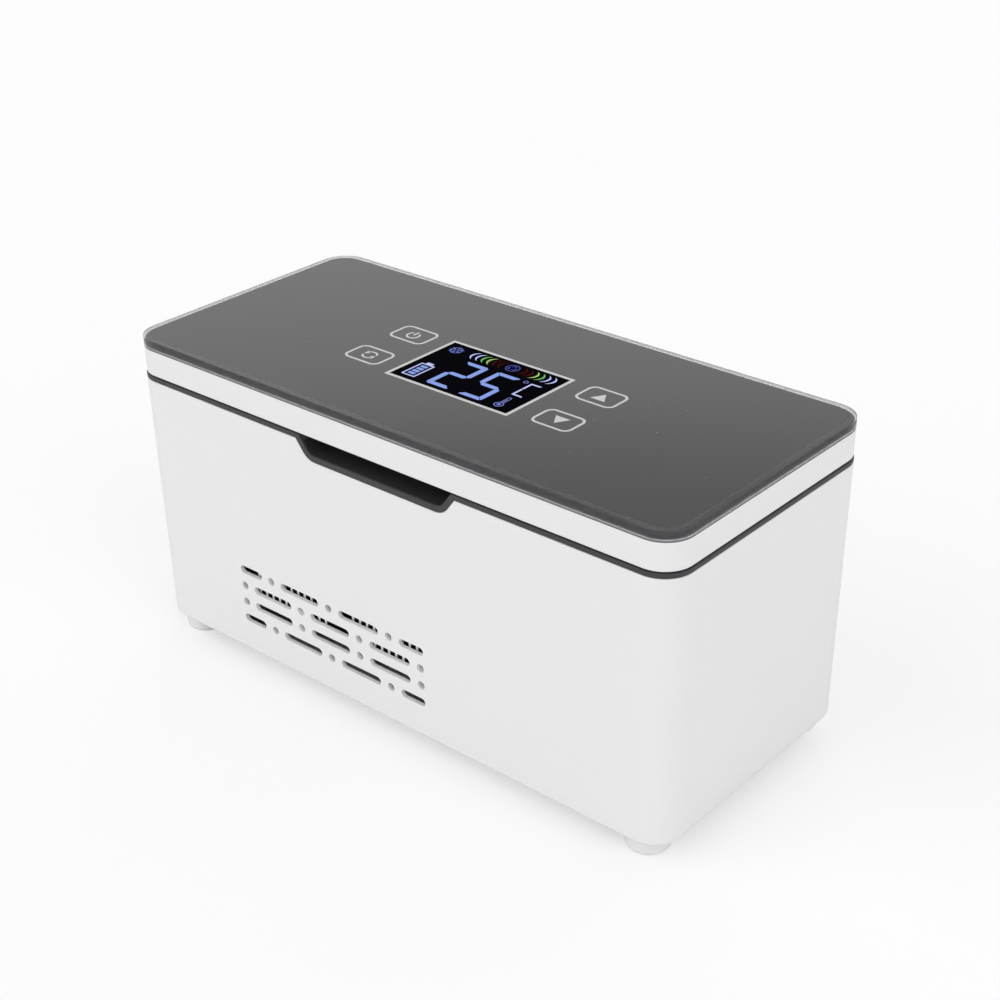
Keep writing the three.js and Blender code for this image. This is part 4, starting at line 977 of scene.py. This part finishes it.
stations = [(lid_wall, lid_top - lid_deck), (lid_wall, lid_bottom)]
stations += side_stations(lid_bottom, lid_top, lid_edge, lid_top_edge)
lid = loft("lid", stacked(lid_outline, stations))
beyond = case_length / 2 + mm
behind = hinge_y + hinge_radius + cut_overrun
under = lid_bottom - cut_overrun
rear_tool = box_prism("rear_edge_tool", -beyond, beyond, hinge_y, behind, under, hinge_z)
carve(rear_tool, rod_along(hinge_radius, -beyond - mm, beyond + mm, 72))
carve(lid, rear_tool)
ear_top = hinge_z + hinge_radius
for x in (-hinge_x, hinge_x):
    knuckle = (x - knuckle_end, x + knuckle_end, knuckle_front, knuckle_rear, lid_bottom, ear_top)
    carve(lid, box_prism("knuckle_tool", *knuckle), "UNION")
    room = (x - ear_room, x + ear_room, knuckle_front - cut_overrun, behind, under, ear_top + ear_gap)
    carve(lid, box_prism("room_tool", *room))
    carve(lid, rod_along(hinge_hole, x - knuckle_end - mm, x + knuckle_end + mm, 32))
soften(lid, 0.2 * mm)
lid_white = white_plastic("lid_white")
dress(lid, lid_white, "lid", "white_plastic", "lid_frame")

# Lid liner: a white moulding screwed under the lid. Its hollow plug fits the chamber's mouth
# and is packed with foam; a soft grey gasket lies in a groove round it.
plug_gap = 1.8 * mm
plug_wall = 1.6 * mm
plug_edge = 1.6 * mm
plug_root = 0.5 * mm
plug_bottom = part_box("lid_liner")[0].z
plate_top = lid_bottom + 2 * mm
plate_inset = lid_wall + 0.3 * mm
plate_edge = 0.3 * mm
gasket_low, gasket_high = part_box("lid_gasket")
gasket_inner = 2.8 * mm
gasket_outer = gasket_inner + 3.4 * mm
gasket_radius = (gasket_high.z - gasket_low.z) * 0.45
groove_room = 0.15 * mm
groove_top = lid_bottom + 1.2 * mm
boss_radius = 4.4 * mm
boss_top = plate_top + 0.8 * mm
boss_bottom = lid_bottom + 0.5 * mm
hinge_room = 0.3 * mm

plate = [(plate_inset, plate_top), (plate_inset, lid_bottom + plate_edge)]
plate.append((plate_inset + plate_edge, lid_bottom))
plug = [(plug_root - plug_gap, lid_bottom), (-plug_gap, lid_bottom - plug_root)]
plug += arc(-plug_gap - plug_edge, plug_bottom + plug_edge, plug_edge, 0, -90, 7)
tub = loft("lid_underside", stacked(lid_outline, plate) + stacked(chamber_outline, plug))
hollow = [(-plug_gap - plug_wall, plug_bottom + plug_wall), (-plug_gap - plug_wall, plate_top + mm)]
carve(tub, loft("hollow_tool", stacked(chamber_outline, hollow)))
groove = (chamber_outline(gasket_outer + groove_room), chamber_outline(gasket_inner - groove_room))
cut(tub, [groove], under, groove_top)
cut(tub, corner_discs("lid_screw", boss_radius, 40), boss_bottom, boss_top, operation="UNION")
cut(tub, corner_discs("lid_screw", screw_radius + screw_room), under, boss_top + cut_overrun)
lid_seat_top = lid_bottom + head_height + close_fit
cut(tub, corner_discs("lid_screw", head_radius + screw_room, 32), under, lid_seat_top)
room_front, room_half = knuckle_front - hinge_room, knuckle_end + hinge_room
for x in (-hinge_x, hinge_x):
    room = (x - room_half, x + room_half, room_front, case_depth, under, plate_top + cut_overrun)
    carve(tub, box_prism("room_tool", *room))
soften(tub, 0.15 * mm)
dress(tub, lid_white, "lid", "white_plastic", "lid_liner")

soft_grey = grained("soft_grey", 1900.0, (132, 134, 137), (142, 144, 147), (0.7, 0.82), (0.3, 0.03 * mm))
seal = [(gasket_inner, gasket_high.z)]
for x, turn in ((gasket_inner + gasket_radius, 180), (gasket_outer - gasket_radius, 270)):
    seal += arc(x, gasket_low.z + gasket_radius, gasket_radius, turn, turn + 90, 5)
seal.append((gasket_outer, gasket_high.z))
gasket = loft("lid_seal", stacked(chamber_outline, seal), looped=True)
soften(gasket)
dress(gasket, soft_grey, "lid", "rubber_grey", "lid_gasket")
refinish(soft_grey, *numbered("touch_contact"))
for corner in corner_names:
    cross_screw(f"lid_liner_screw_{corner}", f"lid_screw_{corner}", "lid")

# Touch panel: an acrylic slab that covers the whole lid, printed dark grey from behind but for a
# narrow clear margin over a white line. Tape bonds it to the lid, and its sawn edge is ground.
# A window in it takes the display's lens.
panel_low, panel_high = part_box("touch_panel")
ink_layer = 0.012 * mm
bond_overlap = 0.012 * mm
panel_bottom = panel_low.z
panel_top = panel_high.z - 3 * ink_layer
panel_edge = 0.05 * mm
tape_height = 0.36 * mm
tape_inset = 0.06 * mm
clear_margin = 2.4 * mm
white_line = 0.68 * mm
print_gap = 0.03 * mm
lens_low, lens_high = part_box("display_lens")
layout = middle_of("display_lens")
lens_length = lens_high.x - lens_low.x
lens_width = lens_high.y - lens_low.y
lens_corner = 0.8 * mm
lens_gap = 0.05 * mm
slab_bottom = panel_bottom + tape_height
tape_top = slab_bottom + bond_overlap


def lens_outline(inset, z=0):
    """The lens's outline, drawn in all round."""
    return rounded(lens_length - 2 * inset, lens_width - 2 * inset, lens_corner - inset, layout, 6)


panel = loft("panel", stacked(lid_outline, [(clear_margin, panel_bottom), (clear_margin, panel_top)]))
cut(panel, [lens_outline(-lens_gap)], panel_bottom - cut_overrun, panel_top + cut_overrun)
soften(panel)
under_core = clear_margin + bond_overlap
stations = [(under_core, slab_bottom)]
stations += side_stations(slab_bottom, panel_top, panel_edge, panel_edge)
stations.append((under_core, panel_top))
margin = loft("panel_clear_margin", stacked(lid_outline, stations), looped=True)
soften(margin)
stations = [(under_core, lid_top), (tape_inset, lid_top), (tape_inset, tape_top), (under_core, tape_top)]
tape = loft("panel_tape", stacked(lid_outline, stations), looped=True)
soften(tape)
over_core = clear_margin + bond_overlap / 2
print_side, print_top = clear_margin - print_gap, panel_top - print_gap
stations = [(over_core, slab_bottom), (white_line, slab_bottom), (white_line, tape_top + bond_overlap)]
stations += [(print_side, tape_top + bond_overlap), (print_side, print_top), (over_core, print_top)]
back_print = loft("panel_back_print", stacked(lid_outline, stations), looped=True)
soften(back_print)

panel_acrylic, wire = new_finish("panel_acrylic")
haze = wire.noise(9.0)
dust = wire.noise(600.0, 1.0).step(0.80, 0.84)
wire.surface(
    Base_Color=dust.blend(haze.blend(seen(46, 46, 48), seen(50, 50, 52)), seen(120, 120, 120)),
    Roughness=0.07 + 0.04 * haze + 0.1 * dust,
    IOR=1.5,
    Normal=wire.bump(wire.noise(60.0), 0.02, 0.02 * mm),
)
dress(panel, panel_acrylic, "lid", "panel_gloss", "touch_panel")
clear_acrylic, wire = new_finish("clear_acrylic")
haze = wire.noise(40.0)
ground = 1 - wire.facing("Z").step(0.05, 0.3)
wire.surface(
    Base_Color=haze.blend(seen(246, 247, 248), seen(250, 251, 252)),
    Roughness=0.02 + 0.02 * haze + 0.75 * ground,
    IOR=1.49,
    Transmission_Weight=1.0,
)
dress(margin, clear_acrylic, "lid", "panel_gloss")
print_grey, wire = new_finish("print_grey")
mottle = wire.noise(700.0)
wire.surface(
    Base_Color=mottle.blend(seen(78, 78, 80), seen(84, 84, 86)),
    Roughness=0.8 + 0.1 * mottle,
    Specular_IOR_Level=0.0,
)
dress(back_print, print_grey, "lid", "panel_gloss")
panel_bond, wire = new_finish("panel_bond")
foam_cells = wire.noise(1500.0)
printed = wire.place("Z").step(tape_top - 0.05 * mm, tape_top - 0.02 * mm)
tape_grey = foam_cells.blend(seen(104, 104, 106), seen(114, 114, 116))
wire.surface(
    Base_Color=printed.blend(tape_grey, seen(251, 251, 251)),
    Roughness=0.6 + 0.1 * foam_cells,
    Normal=wire.bump(foam_cells, 0.2, 0.03 * mm),
)
dress(tape, panel_bond, "lid", "panel_gloss")

# Display lens: a black filter as high as the panel, bonded into its window over the module.
# Its upper edges are bevelled, and it has hardly any gloss.
lens_edge = 0.1 * mm
stations = [(0, panel_bottom), (0, panel_top - lens_edge), (lens_edge, panel_top)]
lens = loft("lens", stacked(lens_outline, stations))
soften(lens)
lens_black, wire = new_finish("lens_black")
haze = wire.noise(40.0)
wire.surface(
    Base_Color=haze.blend(seen(2, 2, 6), seen(4, 4, 9)),
    Roughness=0.5 + 0.1 * haze,
    Specular_IOR_Level=0.0,
    Coat_Weight=0.012 + 0.004 * haze,
    Coat_Roughness=0.06,
)
dress(lens, lens_black, "lid", "display_gloss", "display_lens")

# Printing on the panel: silver ink that shows as the display's border and as four key marks,
# which are power, cycle, up and down. Each is a thin flat layer on the gloss.
ink_top = panel_top + ink_layer
border_line = 1.25 * mm
border_corner = 0.3 * mm
least_corner = 0.1 * mm
key_left, key_right = -39.6 * mm, 40.1 * mm
key_upper, key_lower = 12.0 * mm, -9.4 * mm
key_length = 15.2 * mm
key_width = 11.3 * mm
key_corner = 2.9 * mm
key_line = 0.9 * mm
triangle_half = 2.8 * mm
triangle_height = 4.7 * mm
power_radius = 2.2 * mm
power_line = 0.75 * mm
power_drop = 0.4 * mm
power_bar_low, power_bar_high = -0.3 * mm, 2.6 * mm
cycle_radius = 2.4 * mm
cycle_line = 0.7 * mm
cycle_sweep = 122
arrow_half = 1.15 * mm
arrow_heel, arrow_tip = 118, 165


def moved(outline, x, y):
    return [(x + a, y + b) for a, b in outline]


def flat_print(name, outlines, material, slot, z_from, z_to):
    """Flat marks drawn about the layout's middle."""
    marks = []
    for outline in outlines:
        if isinstance(outline, tuple):
            marks.append(tuple(moved(ring, *layout) for ring in outline))
        else:
            marks.append(moved(outline, *layout))
    piece = prisms(name, marks, z_from, z_to)
    soften(piece)
    dress(piece, material, "lid", slot)


def frame_line(x, y, length, depth, radius, line, steps=10):
    """A rounded frame with an even line, as (outer, inner)."""
    inner_radius = max(radius - line, least_corner)
    outer = rounded(length, depth, radius, (x, y), steps)
    return outer, rounded(length - 2 * line, depth - 2 * line, inner_radius, (x, y), steps)


def ring_line(x, y, radius, line, steps=36):
    return disc(x, y, radius + line / 2, steps), disc(x, y, radius - line / 2, steps)


def curved_line(x, y, radius, line, turn_from, turn_to, steps=24):
    outer = arc(x, y, radius + line / 2, turn_from, turn_to, steps)
    return outer + arc(x, y, radius - line / 2, turn_to, turn_from, steps)


def straight_line(x_from, y_from, x_to, y_to, line):
    along = Vector((x_to - x_from, y_to - y_from)).normalized()
    x, y = -along.y * line / 2, along.x * line / 2
    return [(x_from - x, y_from - y), (x_to - x, y_to - y), (x_to + x, y_to + y), (x_from + x, y_from + y)]


silver_ink = grained("silver_ink", 700.0, (190, 190, 190), (202, 202, 201), (0.16, 0.22), (0.02, 0.01 * mm))
border = [frame_line(0, 0, lens_length, lens_width, border_corner, border_line, 3)]
flat_print("display_border", border, silver_ink, "panel_gloss", panel_top, ink_top)

power_mark = [
    curved_line(0, -power_drop, power_radius, power_line, 125, 415),
    straight_line(0, power_bar_low, 0, power_bar_high, power_line),
]
triangle_rise = triangle_height / 2
up_mark = [[(-triangle_half, -triangle_rise), (triangle_half, -triangle_rise), (0, triangle_rise)]]
down_mark = [[(-x, -y) for x, y in up_mark[0]]]
cycle_mark = []
for turn in (20, 200):
    cycle_mark.append(curved_line(0, 0, cycle_radius, cycle_line, turn, turn + cycle_sweep, 16))
    heel, tip = math.radians(turn + arrow_heel), math.radians(turn + arrow_tip)
    corners = ((cycle_radius - arrow_half, heel), (cycle_radius + arrow_half, heel), (cycle_radius, tip))
    cycle_mark.append([(radius * math.cos(angle), radius * math.sin(angle)) for radius, angle in corners])
keys = {
    "power": (key_left, key_upper, power_mark),
    "cycle": (key_left, key_lower, cycle_mark),
    "up": (key_right, key_upper, up_mark),
    "down": (key_right, key_lower, down_mark),
}
for key, (x, y, mark) in keys.items():
    outlines = [frame_line(x, y, key_length, key_width, key_corner, key_line)]
    outlines += [moved(outline, x, y) for outline in mark]
    flat_print(f"key_{key}", outlines, silver_ink, "panel_gloss", panel_top, ink_top)

# Display: lit segments that show through the lens, drawn as thin films on its face, with a faint
# spill of light round the large ones. They are two numerals with their unit, a battery, a
# thermometer, a snowflake, a fan sign and a row of arcs.
spill_top = panel_top + ink_layer
lit_top = spill_top + ink_layer
spill = 0.22 * mm
badge_spill = 0.38 * mm
numeral_line = 1.9 * mm
numeral_height = 20.4 * mm
numeral_width = 9.6 * mm
numeral_low = -13.8 * mm
numeral_slit = 0.12 * mm
corner_cut = 0.4
numerals = {-10.9 * mm: "abged", 2.6 * mm: "afgcd"}
unit_place = (16.6 * mm, -4.0 * mm)
unit_size = (4.5 * mm, 10.2 * mm)
unit_line = 0.75 * mm
degree_x, degree_y = 14.5 * mm, 5.9 * mm
degree_radius = 0.75 * mm
thin_line = 0.3 * mm


def lit_segment(name, red, green, blue):
    """A lit segment: its own light, evened out by the filter, under a trace of gloss."""
    material, wire = new_finish(name)
    mottle = wire.noise(300.0)
    color = seen(red, green, blue)
    faint = tuple(0.92 * part for part in color[:3]) + (1.0,)
    wire.surface(
        Base_Color=(0.0, 0.0, 0.0, 1.0),
        Roughness=0.5 + 0.05 * mottle,
        Specular_IOR_Level=0.0,
        Emission_Color=mottle.blend(faint, color),
        Emission_Strength=1.0,
    )
    return material


lit_blue = lit_segment("lit_blue", 142, 166, 234)
lit_pale = lit_segment("lit_pale", 196, 204, 248)
lit_green = lit_segment("lit_green", 118, 192, 96)
lit_lime = lit_segment("lit_lime", 180, 206, 118)
lit_red = lit_segment("lit_red", 64, 20, 22)
lit_violet = lit_segment("lit_violet", 128, 136, 206)
lit_dim = lit_segment("lit_dim", 92, 100, 172)
spill_blue = lit_segment("spill_blue", 8, 11, 60)
spill_green = lit_segment("spill_green", 6, 44, 10)
spill_red = lit_segment("spill_red", 30, 6, 6)


def segments(x, y, width, height, line, letters, slit):
    """The named bars of a seven-bar numeral: mitred ends, cut corners and slits between them."""
    far, top, half, middle = width - line, height - line, line / 2, height / 2
    nick = corner_cut * line
    bars = {
        "a": [(nick, height), (width - nick, height), (width - nick / 2 - slit, height - nick / 2),
              (far - slit, top), (line + slit, top), (nick / 2 + slit, height - nick / 2)],
        "b": [(width - nick / 2, height - nick / 2 - slit), (width, height - nick),
              (width, middle + nick + slit), (width - half, middle + slit),
              (far, middle + half + slit), (far, top - slit)],
        "g": [(half + slit, middle), (line + slit, middle + half), (far - slit, middle + half),
              (width - half - slit, middle), (far - slit, middle - half), (line + slit, middle - half)],
    }
    bars["c"] = [(a, height - b) for a, b in bars["b"]]
    bars["d"] = [(a, height - b) for a, b in bars["a"]]
    bars["f"] = [(width - a, b) for a, b in bars["b"]]
    bars["e"] = [(width - a, b) for a, b in bars["c"]]
    return [moved(bars[letter], x, y) for letter in letters]


def spread(x, y, width, height, line, letters, reach):
    """The same bars, wider all round and without slits."""
    size = (width + 2 * reach, height + 2 * reach, line + 2 * reach)
    return segments(x - reach, y - reach, *size, letters, 0)


def light_up(name, outlines, material, z_from=spill_top, z_to=lit_top):
    flat_print(name, outlines, material, "display_gloss", z_from, z_to)


def spill_behind(name, outlines, material):
    light_up(name, outlines, material, panel_top, spill_top)


glow = []
lit = []
for x, letters in numerals.items():
    shape = (x, numeral_low, numeral_width, numeral_height, numeral_line, letters)
    glow += spread(*shape, spill)
    lit += segments(*shape, numeral_slit)
unit_shape = (*unit_place, *unit_size, unit_line, "afed")
glow += spread(*unit_shape, spill)
spill_behind("numerals_glow", glow, spill_blue)
light_up("numerals", lit, lit_blue)
unit = segments(*unit_shape, 0)
light_up("unit", unit, lit_pale)
light_up("degree_sign", [ring_line(degree_x, degree_y, degree_radius, thin_line, 24)], lit_violet)

arc_x, arc_y = 4.2 * mm, 11.6 * mm
arc_height = 5.6 * mm
arc_bulge = 2.1 * mm
arc_line = 0.74 * mm
arc_first = 5.6 * mm
arc_pitch = 2.4 * mm
arc_glow = 2.2 * arc_line
arc_tints = [
    (lit_red, spill_red), (lit_red, spill_red), (lit_lime, spill_green),
    (lit_green, spill_green), (lit_pale, spill_blue), (lit_pale, spill_blue),
]


def crescent(side, reach, line):
    """A crescent that bulges outward, on one side of the badge."""
    rings = []
    for bulge in (arc_bulge, arc_bulge - line):
        half = arc_height / 2
        radius = (half * half + bulge * bulge) / (2 * bulge)
        x = arc_x + side * (reach - arc_bulge + bulge - radius)
        half_turn = math.degrees(math.asin(half / radius))
        middle = 0 if side > 0 else 180
        rings.append(arc(x, arc_y, radius, middle - half_turn, middle + half_turn, 16))
    return rings[0] + rings[1][-2:0:-1]


for i, (tint, spill_tint) in enumerate(arc_tints):
    reach = arc_first + arc_pitch * i
    light_up(f"arcs_{i + 1}", [crescent(side, reach, arc_line) for side in (-1, 1)], tint)
    spill_behind(f"arcs_glow_{i + 1}", [crescent(side, reach, arc_glow) for side in (-1, 1)], spill_tint)

badge_radius = 2.35 * mm
badge_reach = 0.9 * mm
badge_blade = 0.65 * mm
badge = [ring_line(arc_x, arc_y, badge_radius, thin_line)]
for turn in (90, 210, 330):
    x = arc_x + badge_reach * math.cos(math.radians(turn))
    y = arc_y + badge_reach * math.sin(math.radians(turn))
    badge.append(curved_line(x, y, badge_blade, thin_line, turn - 100, turn + 100, 12))
light_up("fan_badge", badge, lit_dim)

flake_x, flake_y = -19.8 * mm, 11.2 * mm
flake_reach = 2.6 * mm
flake_hole = 0.2 * flake_reach
flake_line = 0.32 * mm
twig_start = 1.5 * mm
twig_gap = 0.2 * mm
twig_length = 0.95 * mm
twig_line = 0.9 * flake_line
flake = []
for turn in range(30, 390, 60):
    x, y = math.cos(math.radians(turn)), math.sin(math.radians(turn))
    root = (flake_x + flake_hole * x, flake_y + flake_hole * y)
    flake.append(straight_line(*root, flake_x + flake_reach * x, flake_y + flake_reach * y, flake_line))
    for lean in (-55, 55):
        a, b = math.cos(math.radians(turn + lean)), math.sin(math.radians(turn + lean))
        fork = (flake_x + twig_start * x + twig_gap * a, flake_y + twig_start * y + twig_gap * b)
        twig_end = (fork[0] + twig_length * a, fork[1] + twig_length * b)
        flake.append(straight_line(*fork, *twig_end, twig_line))
light_up("snowflake", flake, lit_violet)
badges_behind = [disc(arc_x, arc_y, badge_radius + badge_spill), disc(flake_x, flake_y, flake_reach + spill)]
spill_behind("badges_glow", badges_behind, spill_blue)

battery_x, battery_y = -18.9 * mm, -8.4 * mm
battery_width, battery_height = 5.7 * mm, 10.2 * mm
battery_corner = 0.35 * mm
battery_line = 0.6 * mm
glow_corner = 0.6 * mm
cap_length, cap_width = 1.3 * mm, 2.8 * mm
charge_pitch = 1.95 * mm
charge_half, charge_width = 1.35 * mm, 1.4 * mm
battery_shape = (battery_width, battery_height, battery_corner, battery_line, 3)
battery = [frame_line(battery_x, battery_y, *battery_shape)]
cap_low = battery_y + battery_height / 2
battery.append(straight_line(battery_x, cap_low, battery_x, cap_low + cap_length, cap_width))
light_up("battery_mark", battery, lit_pale)
charge = []
for level in (-1.5, -0.5, 0.5, 1.5):
    y = battery_y + level * charge_pitch
    charge.append(straight_line(battery_x - charge_half, y, battery_x + charge_half, y, charge_width))
light_up("battery_charge", charge, lit_blue)
glow_size = (battery_width + 2 * spill, battery_height + 2 * spill)
battery_glow = rounded(*glow_size, glow_corner, (battery_x, battery_y), 4)
spill_behind("battery_glow", [battery_glow], spill_blue)

stem_x, bulb_y = 18.5 * mm, -12.1 * mm
stem_top = bulb_y + 5.4 * mm
stem_half = 0.55 * mm
bulb_radius = 1.5 * mm
bulb_line = 0.35 * mm
bulb_core = 0.7 * mm
stem_low = bulb_y + bulb_radius - 0.1 * mm
column_low, column_high = bulb_y + 0.8 * mm, bulb_y + 4.2 * mm
thermometer = [
    curved_line(stem_x, bulb_y, bulb_radius, bulb_line, 112, 428, 32),
    disc(stem_x, bulb_y, bulb_core, 20),
    straight_line(stem_x, column_low, stem_x, column_high, thin_line),
    curved_line(stem_x, stem_top, stem_half, thin_line, 0, 180, 12),
]
for side in (-1, 1):
    x = stem_x + side * stem_half
    thermometer.append(straight_line(x, stem_low, x, stem_top, thin_line))
light_up("thermometer", thermometer, lit_violet)
spill_behind("thermometer_glow", [disc(stem_x, bulb_y, bulb_radius + spill)], spill_blue)
